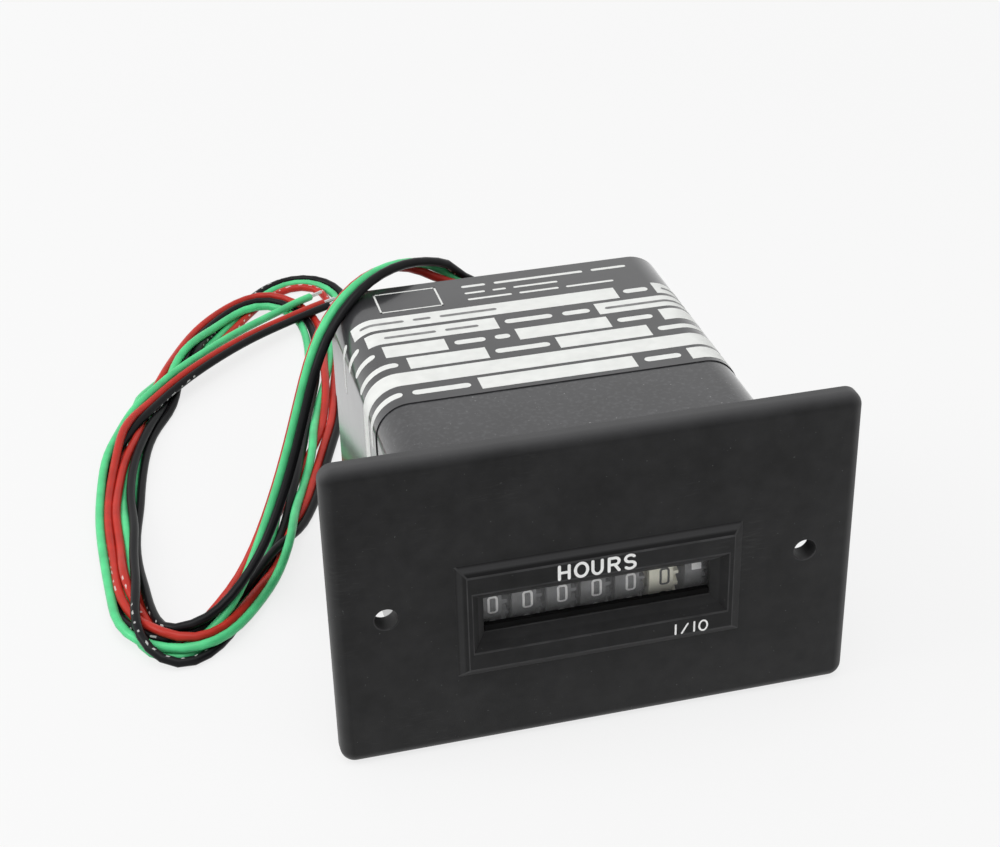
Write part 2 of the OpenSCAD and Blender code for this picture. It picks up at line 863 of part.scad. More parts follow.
module lead(k, tint) {
    color(tint)
        tube(strand(k), lead_d / 2, lead_sides);
}

// Outer shape of the coiled leads
module lead_coil() {
    color("#4f8f63")
        translate([0, 0, -plate_h / 2])
            rotate([rest_tilt, 0, 0])
                translate([coil_x, coil_y, 0])
                    rotate([0, 0, -coil_turn])
                        linear_extrude(coil_h)
                            difference() {
                                polygon(oval(coil_long + coil_band / 2, coil_short + coil_band / 2));
                                polygon(oval(coil_long - coil_band / 2, coil_short - coil_band / 2));
                            }
}

front_bezel();
window_lens();
case_shell();
rear_cover();
cover_screws();
cable_grommet();
data_label();
counter_frame();
counter_screws();
wheel_shaft();
number_wheel(0, wheel_black);  // wheel_ten_thousands
number_wheel(1, wheel_black);  // wheel_thousands
number_wheel(2, wheel_black);  // wheel_hundreds
number_wheel(3, wheel_black);  // wheel_tens
number_wheel(4, wheel_black);  // wheel_units
number_wheel(5, wheel_cream);  // wheel_tenths
run_indicator();
pinion_shaft();
transfer_pinion(0);  // transfer_pinion_1
transfer_pinion(1);  // transfer_pinion_2
transfer_pinion(2);  // transfer_pinion_3
transfer_pinion(3);  // transfer_pinion_4
transfer_pinion(4);  // transfer_pinion_5
lay_shaft();
lay_gear();
gearmotor();
motor_screws();
motor_pinion();
circuit_board();
board_standoffs();
board_screws();
control_chip();
crystal_can();
filter_capacitor();
rectifier_diodes();
motor_leads();
inner_leads();
lead(1, "#c23a2e");  // red_lead
lead(0, "#52c184");  // green_lead
lead(2, "#1c1d1f");  // black_lead
lead_coil();
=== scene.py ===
"""Looks of a panel-mounted hour meter: finishes, printed figures, label print and three loose leads."""

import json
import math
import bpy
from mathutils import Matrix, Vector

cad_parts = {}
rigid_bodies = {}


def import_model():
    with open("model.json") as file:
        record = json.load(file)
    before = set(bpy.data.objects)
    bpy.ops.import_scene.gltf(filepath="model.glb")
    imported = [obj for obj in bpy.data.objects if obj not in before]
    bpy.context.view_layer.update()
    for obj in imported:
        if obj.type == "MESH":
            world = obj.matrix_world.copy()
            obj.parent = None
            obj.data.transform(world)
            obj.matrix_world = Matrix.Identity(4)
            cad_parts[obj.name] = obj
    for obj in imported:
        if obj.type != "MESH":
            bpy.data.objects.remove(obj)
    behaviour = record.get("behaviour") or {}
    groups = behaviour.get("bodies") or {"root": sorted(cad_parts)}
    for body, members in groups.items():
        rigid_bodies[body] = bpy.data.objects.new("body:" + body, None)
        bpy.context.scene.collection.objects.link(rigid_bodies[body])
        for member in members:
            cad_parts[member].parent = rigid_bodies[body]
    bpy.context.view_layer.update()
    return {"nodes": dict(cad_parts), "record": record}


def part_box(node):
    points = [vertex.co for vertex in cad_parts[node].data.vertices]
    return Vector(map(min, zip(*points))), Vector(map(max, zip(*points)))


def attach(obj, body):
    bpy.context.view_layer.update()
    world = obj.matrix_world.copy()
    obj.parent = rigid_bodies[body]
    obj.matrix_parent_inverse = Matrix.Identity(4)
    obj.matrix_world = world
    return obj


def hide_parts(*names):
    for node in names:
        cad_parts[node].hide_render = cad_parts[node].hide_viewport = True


bl_info = {
    "name": "Hour Meter",
    "version": (1, 0, 0),
    "blender": (4, 5, 0),
    "location": "3D View > Sidebar > Hour Meter",
    "description": "Dresses the hour meter's solids and lays its loose leads",
    "category": "Object",
}

import bmesh
import bpy
import numpy as np
from bpy.props import FloatProperty, FloatVectorProperty, IntProperty, PointerProperty
from mathutils import Matrix, Vector

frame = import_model()
MM = 0.001
HOUSING = "meter"

# Camera of the photograph: place in millimetres, its right, up and backward directions, then its lens and
# sensor in millimetres and the nearest distance that it sees, in metres
CAMERA_PLACE = (-62.97, -208.17, 150.08)
CAMERA_RIGHT = (0.96892, -0.24627, -0.02349)
CAMERA_UP = (0.14303, 0.48021, 0.86542)
CAMERA_BACK = (-0.20184, -0.84189, 0.50049)
CAMERA_LENS = 67.09
CAMERA_SENSOR = 36.0
CAMERA_CLIP = 0.01

# Resting plane in the part's frame: height at the plate and rise per millimetre of depth
FLOOR_Z = -24.3
FLOOR_RISE = 0.0511

# Case, label and window, in millimetres, as in the solids
CASE_HALF_W = 27.0
CASE_TOP = 21.5
CASE_D = 54.8
CASE_R = 5.0
LABEL_T = 0.15
FRAME_FRONT_Y = -4.4
PLATE_FRONT_Y = -3.2
# Strip on the window slot's lower edge, near black as painted shade below the wheels: range in X, Y and Z
SILL = ((-16.55, 16.55), (-1.9, -1.06), (-5.58, -4.71))
# Number wheels, as in the solids: radius, place of their axis, middle of the first figures, and pitch
WHEEL_R = 7.0
WHEEL_Y = 7.3
WHEEL_Z = -3.2
FIRST_FIGURE_X = -14.75
WHEEL_PITCH = 5.08
# Height of a figure's middle above the wheel axis
FIGURE_RISE = 0.1
WHEELS = ("ten_thousands", "thousands", "hundreds", "tens", "units", "tenths")

# Route of the lead bundle: from the grommet, then from the case's left rear top corner
LEAD_EXIT = (4.0, 56.6, 8.0)
FROM_EXIT = ((0, 0, 0), (0, 3.5, 0.5), (-2, 7.5, 4))
LEAD_CORNER = (-27.0, 54.8, 21.36)
FROM_CORNER = (
    (22.5, 9.5, -4.2), (17.2, 7.9, 0.5), (12.6, 5.2, 2.3), (8, 2.2, 2.85), (4.4, -0.8, 2.45),
    (0.8, -4.8, 0.65), (-2.7, -7.8, -1.9), (-4.7, -9.3, -6), (-6.8, -10.3, -13), (-11, -12.8, -24.5),
    (-15.5, -16, -33), (-20, -19, -38.5), (-24, -22, -41.5),
)
# Angle of the bundle's first place in degrees, and its twist from one point of the route to the next
BUNDLE_START = 180.0
BUNDLE_TWIST = -20.0
# Each lead: colour, its sign in the order table and its place in the bundle
LEADS = (("red", "r", 1), ("green", "g", 0), ("black", "k", 2))
# Turns of the coil on the resting plane: X, Y and height of the three leads' middle above the plane
TURNS = (
    (-54.8, 28.4, 2.2), (-58.6, 26.9, 1.8), (-61.8, 29.8, 1.4), (-63.4, 39, 1.0), (-63.8, 54, 0.8),
    (-62.8, 66, 0.8), (-60.8, 80, 0.8), (-57.8, 92, 0.9), (-53.5, 101.5, 1.4), (-49.5, 111, 2.2),
    (-44, 121.5, 2.6), (-38, 128.5, 2.6), (-32.5, 132.8, 2.6), (-27.5, 134, 2.4), (-23.8, 130.5, 2.0),
    (-21.8, 123.5, 2.2), (-22.5, 110, 2.2), (-25.5, 95, 1.8), (-29.5, 80, 1.2), (-35.5, 63, 0.9),
    (-40.5, 50, 0.8), (-45.8, 40, 0.8), (-50.3, 31.2, 0.8), (-55.2, 25.1, 0.8), (-60.4, 25.0, 0.9),
    (-63.4, 32, 1.8), (-63.8, 46, 2.3), (-63.6, 58, 2.3), (-62.6, 70, 2.3), (-60.8, 82, 2.0),
    (-57.8, 93, 1.7), (-54, 102.5, 1.2), (-49, 110.5, 0.8), (-44.5, 115.8, 0.8), (-39.5, 123.5, 0.8),
    (-33.8, 131, 0.8), (-28, 138.5, 0.8), (-23, 141.8, 0.8), (-18.8, 141.2, 0.8), (-15.4, 137.5, 0.8),
    (-14.4, 130, 0.8), (-16.9, 118, 0.8), (-20.6, 102, 0.8), (-25, 85, 0.8), (-31, 67, 0.8),
    (-36.8, 53, 1.2), (-42.8, 41.5, 1.8), (-49, 31.6, 2.2), (-54, 26.9, 2.6), (-58.8, 26.1, 2.8),
    (-62.8, 29.3, 2.6), (-65.4, 37, 2.4), (-66.2, 50, 2.4), (-66.4, 62, 2.6), (-65.6, 74, 3.0),
    (-63.4, 83, 3.2), (-59.6, 91.5, 3.4), (-54, 100, 3.8), (-48.5, 105.5, 4.2), (-42.5, 110.5, 4.4),
    (-37, 115, 4.4), (-31.5, 119.2, 4), (-26.5, 122.2, 3.6), (-22, 125, 3.2), (-18.6, 127.4, 3),
    (-15.2, 129.6, 2.8),
)
# Order of the leads in half steps from the coil's inside to its outside, at some of the turns' points
# and before them, and how far the red, green and black lead then ride above the others
ORDER = (
    (-13.6, "k.g.r", -0.9, 0, 0.9), (-12.2, "r.g.k", -1.1, -0.3, 0.4), (-10, "r.g.k", -0.9, 0, 0.3),
    (-9, "r.g.k", -0.8, 0.1, 0.2), (-8, "rg.k.", -1, 0.3, 0), (-6, "rg.k.", -1, 0.3, 0),
    (-3, "rg.k.", -0.9, 0.3, 0), (-1, ".rkg.", -0.4, 0, 1), (1, ".rkg.", 0, 0, 1.2),
    (2.2, ".rkg.", 0, 0, 1.2), (3.4, ".krg.", 0, 0, 0.6), (5, "k.g.r", 0, 0, 0), (8, "k.g.r", 0, 0, 0),
    (10, "g.k.r", 0.6, 0, 0), (14, "g.k.r", 0, 0, 0), (18, "g.k.r", -0.5, 0, 0.5),
    (20, "r.g.k", 0, 0, 0), (23.4, "r.g.k", 0, 0, 0), (24.4, "r.g.k", 0, 0, 0.9),
    (25.2, ".rkg.", 0, -0.6, 2.3), (26.2, ".kgr.", 0, -1, 1.3), (27.6, ".kgr.", 0, -1.2, 0),
    (29, ".kgr.", 0, -1, 0), (31, "k.r.g", 0, 0, 0), (34, "r.g.k", 0, 0, 0.6), (39, "r.g.k", 0, 0, 0),
    (42, "g.r.k", 0, 0, 0), (44, "g.r.k", 0, 0.4, 0), (46, "k.r.g", 0, 0.4, 0),
    (48.4, "k.r.g", 0, 0.2, 0), (50.2, ".rkg.", 0, 0, -1.2), (52, ".rkg.", 0, 0, -1.3),
    (55, ".rkg.", 0, 0, -1.3), (56.5, "k.r.g", 0, 0, 0), (65, "k.r.g", 0, 0, 0),
)
# Point of the turns at which the tail starts, and how far the green lead leaves the other two along it
TAIL_START, TAIL_SPREAD = 57, 2.6

# Steps in a quarter turn of a round stroke
ROUND_STEPS = 10


def arc(cx, cy, rx, ry, a0, a1):
    """Points of an elliptic arc, angles in degrees."""
    steps = max(2, int(abs(a1 - a0) / 90 * ROUND_STEPS))
    angles = [math.radians(a0 + (a1 - a0) * i / steps) for i in range(steps + 1)]
    return [(cx + rx * math.cos(a), cy + ry * math.sin(a)) for a in angles]


def ring(rx, ry):
    """The unit box's outline with round corners."""
    pts = []
    for cx, cy, a in ((1 - rx, 1 - ry, 0), (rx, 1 - ry, 90), (rx, ry, 180), (1 - rx, ry, 270)):
        pts += arc(cx, cy, rx, ry, a, a + 90)
    return pts + [pts[0]]


# Letters and figures as strokes: polylines in a box one wide and one high
STROKES = {
    "0": [ring(0.32, 0.15)],
    "1": [[(0.25, 0.8), (0.55, 1)], [(0.55, 1), (0.55, 0)]],
    "2": [arc(0.5, 0.72, 0.5, 0.28, 170, -40) + [(0, 0)], [(0, 0), (1, 0)]],
    "3": [[(0.05, 1), (0.95, 1)], [(0.95, 1), (0.45, 0.6)], arc(0.45, 0.3, 0.5, 0.3, 90, -160)],
    "4": [[(0.7, 0), (0.7, 1)], [(0.7, 1), (0, 0.3)], [(0, 0.3), (1, 0.3)]],
    "5": [[(0.95, 1), (0.12, 1)], [(0.12, 1), (0.05, 0.55)], arc(0.45, 0.32, 0.5, 0.32, 120, -150)],
    "6": [[(0.75, 1), (0.1, 0.45)], arc(0.5, 0.3, 0.5, 0.3, 0, 360)],
    "7": [[(0, 1), (1, 1)], [(1, 1), (0.35, 0)]],
    "8": [arc(0.5, 0.27, 0.5, 0.27, 90, 450), arc(0.5, 0.77, 0.42, 0.23, -90, 270)],
    "9": [[(0.25, 0), (0.9, 0.55)], arc(0.5, 0.7, 0.5, 0.3, 0, 360)],
    "H": [[(0, 0), (0, 1)], [(1, 0), (1, 1)], [(0, 0.5), (1, 0.5)]],
    "O": [arc(0.5, 0.5, 0.5, 0.5, 0, 360)],
    "U": [[(0, 1), (0, 0.4)] + arc(0.5, 0.4, 0.5, 0.4, 180, 360) + [(1, 1)]],
    "R": [[(0, 0), (0, 1)], [(0, 1)] + arc(0.6, 0.74, 0.38, 0.26, 90, -90) + [(0, 0.48)],
          [(0.55, 0.48), (1, 0)]],
    "S": [arc(0.5, 0.75, 0.46, 0.25, 35, 270) + arc(0.5, 0.25, 0.48, 0.25, 90, -145)],
    "/": [[(0, 0), (1, 1)]],
    "I": [[(0.5, 0), (0.5, 1)]],
}
# Window lettering: character, left edge, foot, width and height in millimetres
TITLE = (
    ("H", -6.3, 2.8, 1.4, 2.1), ("O", -4.0, 2.75, 1.75, 2.2), ("U", -1.5, 2.75, 1.35, 2.15),
    ("R", 0.85, 2.8, 1.45, 2.1), ("S", 3.15, 2.75, 1.5, 2.2),
)
TENTHS_SIGN = (
    ("I", 10.5, -10.0, 0.7, 1.6), ("/", 11.8, -10.0, 0.85, 1.5), ("I", 13.3, -10.0, 0.7, 1.6),
    ("O", 14.4, -10.1, 1.2, 1.7),
)

# Distance from the middle of the label's top, round the case, to its longest field's left end
WRAP = 40.0
# Label rows from front to rear: first and last depth, white fields, and plain bars between them
LABEL_ROWS = (
    (18.1, 21.5, ((-11.1, 12.2), (20.5, 33.0)), ((-33.0, -22.4), (-21.0, -12.4), (13.6, 19.2))),
    (22.3, 26.1, ((-WRAP, 37.0),), ()),
    (26.9, 30.4, ((-19.7, -7.8), (3.0, 17.3), (27.5, 36.0)), ((-29.0, -21.2), (-6.6, 1.8), (18.6, 26.2))),
    (31.2, 34.8, ((-22.5, -13.0), (-2.1, 12.3), (20.6, 38.0)),
     ((-28.5, -23.9), (-11.8, -7.0), (-5.6, -3.2), (13.6, 19.2))),
    (35.7, 39.4, ((-24.4, -4.1), (11.7, 36.0)), ((-30.0, -25.8), (-2.9, 4.6), (6.2, 10.6))),
    (40.3, 44.1, ((-26.0, 16.3), (22.4, 34.0)), ((-36.0, -27.6), (17.4, 21.4))),
)
# Height of the bars between the fields
CAPTION_H = 1.35
# Grey bars in the fields, and white bars behind the last row: ends of each bar, depth and height
ENTRIES = (
    (((-24.6, -17.6), (-16.2, -13.4), (-12.0, -3.0)), 42.2, 0.7),
    (((-21.6, -13.6), (-12.2, -7.0)), 37.5, 0.7),
    (((13.0, 26.6),), 37.5, 0.7),
    (((23.6, 28.6),), 42.2, 0.7),
)
NOTE_LINES = (
    (((-6.5, -2.6), (-1.2, 13.4), (14.8, 20.6)), 51.2, 0.75),
    (((-6.5, -3.2), (-2.0, 0.2), (1.4, 8.6)), 48.8, 0.6),
    (((-6.5, 0.6), (1.8, 8.2), (9.4, 17.2)), 46.6, 0.6),
)
# Outlined box at the label's rear: its sides, its front and rear, and its line width
OUTLINE_BOX = (-20.5, -10.5, 45.8, 52.4)
BOX_LINE = 0.3


def length_setting(name, description, millimetres, precision=4):
    """A length that a user may change, kept in metres."""
    return FloatProperty(
        name=name, description=description, default=millimetres * MM, unit="LENGTH", precision=precision)


def colour_setting(name, description, rgb):
    """A colour that a user may change."""
    return FloatVectorProperty(name=name, description=description, default=rgb, subtype="COLOR", min=0, max=1)


class MeterSizes(bpy.types.PropertyGroup):
    """Sizes of what the scene adds to the solids."""

    lead_d: length_setting("Lead diameter", "Outside diameter of a hook-up lead", 1.5)
    bundle_r: length_setting("Bundle radius", "Distance of each lead from the bundle's middle", 1.0)
    strip_len: length_setting("Stripped length", "Bare strands at a lead's end", 3.5)
    strand_d: length_setting("Strand diameter", "Diameter of one bare strand", 0.25, 5)
    figure_w: length_setting("Figure width", "Width of a wheel figure", 1.2)
    figure_h: length_setting("Figure height", "Height of a wheel figure", 2.58)
    figure_stroke: length_setting("Figure stroke", "Line width of a wheel figure", 0.35, 5)
    title_stroke: length_setting("Lettering stroke", "Line width of the window's lettering", 0.45, 5)
    print_lift: length_setting("Print lift", "How far print stands off its surface", 0.02, 6)
    edge_round: length_setting("Edge rounding", "Small rounding on moulded edges", 0.16, 5)
    settle_rounds: IntProperty(
        name="Settling rounds", description="How often the coiled leads are moved apart",
        default=70, min=1, max=400)


class MeterColours(bpy.types.PropertyGroup):
    """Base colours of the finishes."""

    bezel: colour_setting("Bezel", "Matt moulded plate", (0.02, 0.02, 0.0205))
    case: colour_setting("Case", "Glossy moulded case", (0.02, 0.02, 0.022))
    label: colour_setting("Label film", "Dark ground of the label", (0.03, 0.03, 0.032))
    print_white: colour_setting("Print", "Off-white print", (0.74, 0.75, 0.73))
    typed_grey: colour_setting("Entry bars", "Grey bars in the label's fields", (0.2, 0.2, 0.2))
    wheel_black: colour_setting("Black wheel", "Black number wheels", (0.165, 0.165, 0.168))
    wheel_cream: colour_setting("Cream wheel", "Tenths wheel and pinions", (0.88, 0.86, 0.72))
    red: colour_setting("Red lead", "Red insulation", (0.47, 0.03, 0.02))
    green: colour_setting("Green lead", "Green insulation", (0.085, 0.6, 0.24))
    black: colour_setting("Black lead", "Black insulation", (0.008, 0.008, 0.009))
    floor: colour_setting("Floor", "Pale floor", (0.77, 0.77, 0.77))


def sizes():
    return bpy.context.scene.meter_sizes


def colours():
    return bpy.context.scene.meter_colours


# Materials

# Colour sockets of the Mix node
MIX_A, MIX_B, MIX_RESULT = 6, 7, 2
# Clear gloss of the case and its label, the same all over
GLOSS_COAT = {"Coat Weight": 0.85, "Coat IOR": 1.4, "Coat Roughness": 0.12}


class Nodes:
    """Short ways to add nodes to a tree."""

    def __init__(self, tree):
        self.tree = tree

    def node(self, kind, **values):
        """A new node; each value goes to its property of that name, or else to its input."""
        n = self.tree.nodes.new(kind)
        for key, value in values.items():
            if hasattr(n, key):
                setattr(n, key, value)
            else:
                n.inputs[key.replace("_", " ").title()].default_value = value
        return n

    def link(self, a, b):
        self.tree.links.new(a, b)

    def math(self, operation, a, b=0.0):
        n = self.node("ShaderNodeMath", operation=operation)
        for socket, value in zip(n.inputs, (a, b)):
            if isinstance(value, (int, float)):
                socket.default_value = value
            else:
                self.link(value, socket)
        return n.outputs["Value"]

    def product(self, first, *others):
        for other in others:
            first = self.math("MULTIPLY", first, other)
        return first

    def spread(self, fac, low, high, start=0.0, end=1.0):
        """A value that runs from low to high while fac runs from start to end."""
        n = self.node("ShaderNodeMapRange", from_min=start, from_max=end, to_min=low, to_max=high)
        self.link(fac, n.inputs["Value"])
        return n.outputs["Result"]

    def seen(self):
        """One where the camera sees the surface, also in a gloss or through a pane, and nought elsewhere."""
        ways = self.node("ShaderNodeLightPath")
        either = self.math("MAXIMUM", ways.outputs["Is Camera Ray"], ways.outputs["Is Glossy Ray"])
        return self.math("MAXIMUM", either, ways.outputs["Is Transmission Ray"])


class Finish(Nodes):
    """A material with one Principled shader and short ways to add procedural variation."""

    def __init__(self, name, rough, specular=0.5, metallic=0.0):
        self.material = bpy.data.materials.new(name)
        self.material.use_nodes = True
        super().__init__(self.material.node_tree)
        self.shader = self.tree.nodes["Principled BSDF"]
        self.fix({"Roughness": rough, "Specular IOR Level": specular, "Metallic": metallic})

    def fix(self, values):
        """Sets what is the same all over on the shader's own sockets."""
        for socket, value in values.items():
            self.shader.inputs[socket].default_value = value

    def coords(self, kind="Object"):
        return self.node("ShaderNodeTexCoord").outputs[kind]

    def split(self, kind="Object"):
        """The three coordinates of a point, or of its normal, by their axes."""
        n = self.node("ShaderNodeSeparateXYZ")
        self.link(self.coords(kind), n.inputs["Vector"])
        return n.outputs

    def noise(self, scale, detail=3.0, stretch=None):
        """Noise on the piece's own coordinates, stretched along an axis where asked."""
        source = self.coords()
        if stretch:
            mapping = self.node("ShaderNodeMapping")
            mapping.inputs["Scale"].default_value = stretch
            self.link(source, mapping.inputs["Vector"])
            source = mapping.outputs["Vector"]
        n = self.node("ShaderNodeTexNoise", scale=scale, detail=detail)
        self.link(source, n.inputs["Vector"])
        return n.outputs["Fac"]

    def ramp(self, fac, *stops):
        """A colour that runs through the stops, each a place on fac and a colour."""
        n = self.node("ShaderNodeValToRGB")
        elements = n.color_ramp.elements
        for i, (place, colour) in enumerate(stops):
            e = elements[i] if i < len(elements) else elements.new(place)
            e.position = place
            e.color = (*colour, 1.0)
        self.link(fac, n.inputs["Fac"])
        return n.outputs["Color"]

    def mix(self, fac, a, b):
        """Colour a where fac is nought, and b where it is one."""
        n = self.node("ShaderNodeMix", data_type="RGBA")
        self.link(fac, n.inputs["Factor"])
        for socket, value in ((n.inputs[MIX_A], a), (n.inputs[MIX_B], b)):
            if isinstance(value, tuple):
                socket.default_value = (*value, 1.0)
            else:
                self.link(value, socket)
        return n.outputs[MIX_RESULT]

    def base(self, colour):
        self.link(colour, self.shader.inputs["Base Color"])

    def roughness(self, value):
        self.link(value, self.shader.inputs["Roughness"])

    def bump(self, fac, strength, distance):
        n = self.node("ShaderNodeBump", strength=strength, distance=distance)
        self.link(fac, n.inputs["Height"])
        self.link(n.outputs["Normal"], self.shader.inputs["Normal"])


def tint(colour, factor):
    return tuple(min(1.0, c * factor) for c in colour)


def grey(level):
    return (level, level, level)


# Plain finishes: how far gloss wanders, as a share of roughness, and the grain's scale and depth in metres
GLOSS_WANDER = 0.12
GRAIN_SCALE = 9000.0
GRAIN_DEPTH = 0.00003


def mottled(name, colour, rough, specular, metallic, scale, depth, grain):
    """A finish whose colour and gloss wander slightly, with a fine grain where it isn't nought."""
    f = Finish(name, rough, specular, metallic)
    n = f.noise(scale, 4.0)
    f.base(f.ramp(n, (0.3, tint(colour, 1 - depth)), (0.7, tint(colour, 1 + depth))))
    f.roughness(f.spread(n, rough * (1 - GLOSS_WANDER), min(1.0, rough * (1 + GLOSS_WANDER))))
    if grain:
        f.bump(f.noise(GRAIN_SCALE, 2.0), grain, GRAIN_DEPTH)
    return f.material


# Shades of what lies on the mouldings; the bezel's dust shade also paints top light
BEZEL_SPECK = grey(0.075)
BEZEL_SCUFF = grey(0.05)
BEZEL_DUST_AND_TOP_LIGHT = (0.06, 0.06, 0.062)
CASE_HAZE = (0.07, 0.07, 0.075)
CASE_SPECK = grey(0.2)
# Pale dust and painted top light on the bezel grow with how far a face looks up, and with its height in
# metres
DUST_AND_LIGHT_SLOPE = (0.25, 0.9)
DUST_AND_LIGHT_HEIGHT = (-0.001, 0.02)
# Outer slopes of the window's frame: how far their faces turn, the share of the frame's depth at which they
# end, and the bezel's colour times these factors from the frame's front to its foot: painted shade, a painted
# highlight band, painted shade
SLOPE_TURN = 0.45
SLOPE_END = 0.985
SLOPE_PAINTED_LIGHT = ((0.12, 0.3), (0.3, 0.4), (0.5, 2.4), (0.78, 2.2), (0.95, 0.4))
# Slopes that show that painted light: axis and side that they face, and how strongly
PAINTED_LIGHT_SLOPES = (("Z", 1.0, 0.9), ("X", -1.0, 0.4))
# Sheen of the frame beside that of the plate, and half the depth in millimetres over which it changes
FRAME_SHEEN = 0.45
SHEEN_BLEND = 0.1


def frame_slopes(f, ground, c, spot, normal):
    """A painted highlight band with painted shade along its borders on the upper and left slopes of the
    window's frame.
    """
    rise = f.spread(spot["Y"], 0.0, 1.0, FRAME_FRONT_Y * MM, PLATE_FRONT_Y * MM)
    band = f.ramp(rise, *((place, tint(c, shade)) for place, shade in SLOPE_PAINTED_LIGHT))
    proud = f.math("LESS_THAN", rise, SLOPE_END)
    for axis, side, share in PAINTED_LIGHT_SLOPES:
        slope = f.math("GREATER_THAN", f.product(normal[axis], side), SLOPE_TURN)
        outer = f.math("GREATER_THAN", f.product(spot[axis], side), 0.0)
        ground = f.mix(f.product(slope, outer, proud, share), ground, band)
    return ground


def bezel_finish():
    """Matt black moulding with a fine grain, faint scuffs, pale dust and painted top light on what faces up,
    more of both higher up, and painted light on the frame's slopes.
    """
    c = tuple(colours().bezel)
    f = Finish("bezel_moulding", 0.62, 0.16)
    broad = f.noise(90.0, 3.0)
    spot, normal = f.split(), f.split("Normal")
    cloud = f.math("ADD", f.product(broad, 0.6), f.product(f.noise(420.0, 4.0), 0.4))
    ground = f.ramp(cloud, (0.34, tint(c, 0.8)), (0.66, tint(c, 1.36)))
    specks = f.ramp(f.noise(2600.0, 1.0), (0.77, grey(0)), (0.82, grey(1)))
    ground = f.mix(specks, ground, BEZEL_SPECK)
    rubbed = f.product(f.noise(500.0, 2.0, (1.0, 1.0, 9.0)), f.noise(70.0, 2.0))
    scuffs = f.ramp(rubbed, (0.36, grey(0)), (0.56, grey(0.4)))
    ground = f.mix(scuffs, ground, BEZEL_SCUFF)
    # Painted highlight band with painted shade borders on the frame's upper and left slopes
    ground = frame_slopes(f, ground, c, spot, normal)
    # Pale dust and painted top light: lighter where a face looks up, and higher up
    upward = f.spread(normal["Z"], 0.0, 0.75, *DUST_AND_LIGHT_SLOPE)
    height = f.spread(spot["Z"], 0.0, 1.0, *DUST_AND_LIGHT_HEIGHT)
    dust_and_top_light = f.product(upward, height, f.spread(broad, 0.5, 1.2))
    f.base(f.mix(dust_and_top_light, ground, BEZEL_DUST_AND_TOP_LIGHT))
    f.roughness(f.spread(broad, 0.5, 0.64))
    facing = f.node("ShaderNodeLayerWeight").outputs["Facing"]
    front, back = (PLATE_FRONT_Y - SHEEN_BLEND) * MM, (PLATE_FRONT_Y + SHEEN_BLEND) * MM
    sheen = f.spread(spot["Y"], FRAME_SHEEN, 1.0, front, back)
    f.link(f.product(f.spread(facing, 0.02, 0.9), sheen), f.shader.inputs["Specular IOR Level"])
    f.bump(f.noise(5200.0, 3.0), 0.35, 0.00004)
    return f.material


def case_finish():
    """Smooth black moulding with a soft sheen, a thin haze of dust and a few specks."""
    c = tuple(colours().case)
    f = Finish("case_moulding", 0.3, 0.2)
    broad = f.noise(120.0, 3.0)
    ground = f.ramp(broad, (0.3, tint(c, 0.8)), (0.7, tint(c, 1.25)))
    haze = f.ramp(f.noise(1500.0, 5.0), (0.5, grey(0)), (0.74, grey(0.55)))
    ground = f.mix(haze, ground, CASE_HAZE)
    specks = f.ramp(f.noise(2400.0, 1.0), (0.76, grey(0)), (0.8, grey(1)))
    f.base(f.mix(specks, ground, CASE_SPECK))
    f.roughness(f.spread(broad, 0.26, 0.34))
    f.fix(GLOSS_COAT)
    f.bump(f.noise(3000.0, 2.0), 0.12, 0.00003)
    return f.material


def label_finish():
    """Dark film with a gloss that varies a little."""
    c = tuple(colours().label)
    f = Finish("label_film", 0.26, 0.2)
    broad = f.noise(150.0, 3.0)
    f.base(f.ramp(broad, (0.3, tint(c, 0.85)), (0.7, tint(c, 1.2))))
    f.roughness(f.spread(broad, 0.24, 0.34))
    f.fix(GLOSS_COAT)
    return f.material


# Dashes on a lead: turns of their row per metre, half its width as a share of the girth, dashes per metre,
# the share of each that is printed, how far they wander, and how strongly they show
DASH_TURNS = 8.0
DASH_HALF_W = 0.035
DASHES = 460.0
DASH_SHARE = 0.3
DASH_WANDER = 0.004
DASH_STRENGTH = 0.6
# Printed stretches of a lead: how many per metre, where in one the lead starts, and the printed share of each
STRETCHES = 6.0
STRETCH_START = 0.35
STRETCH_SHARE = 0.5


def lead_finish(name, colour, gloss, marks):
    """Glossy insulation; a row of small pale dashes runs along stretches of it where marks is set."""
    f = Finish(name, 0.3, gloss)
    broad = f.noise(300.0, 2.0)
    body = f.ramp(broad, (0.3, tint(colour, 0.88)), (0.7, tint(colour, 1.12)))
    if marks:
        spot = f.split("UV")
        along = spot["X"]
        wound = f.math("FRACT", f.math("SUBTRACT", spot["Y"], f.product(along, DASH_TURNS)))
        band = f.math("LESS_THAN", f.math("ABSOLUTE", f.math("SUBTRACT", wound, 0.5)), DASH_HALF_W)
        wander = f.math("ADD", along, f.product(broad, DASH_WANDER))
        dash = f.math("LESS_THAN", f.math("FRACT", f.product(wander, DASHES)), DASH_SHARE)
        part = f.math("FRACT", f.math("ADD", f.product(along, STRETCHES), STRETCH_START))
        stretch = f.math("LESS_THAN", part, STRETCH_SHARE)
        body = f.mix(f.product(band, stretch, dash, DASH_STRENGTH), body, tuple(colours().print_white))
    f.base(body)
    f.roughness(f.spread(broad, 0.26, 0.4))
    return f.material


def lens_finish():
    """Clear pane with a faint veil of dust."""
    f = Finish("window_pane", 0.06, 0.5)
    veil = f.noise(700.0, 3.0)
    f.base(f.ramp(veil, (0.3, (0.75, 0.77, 0.78)), (0.7, (0.85, 0.86, 0.86))))
    f.link(f.spread(veil, 0.045, 0.065), f.shader.inputs["Alpha"])
    return f.material


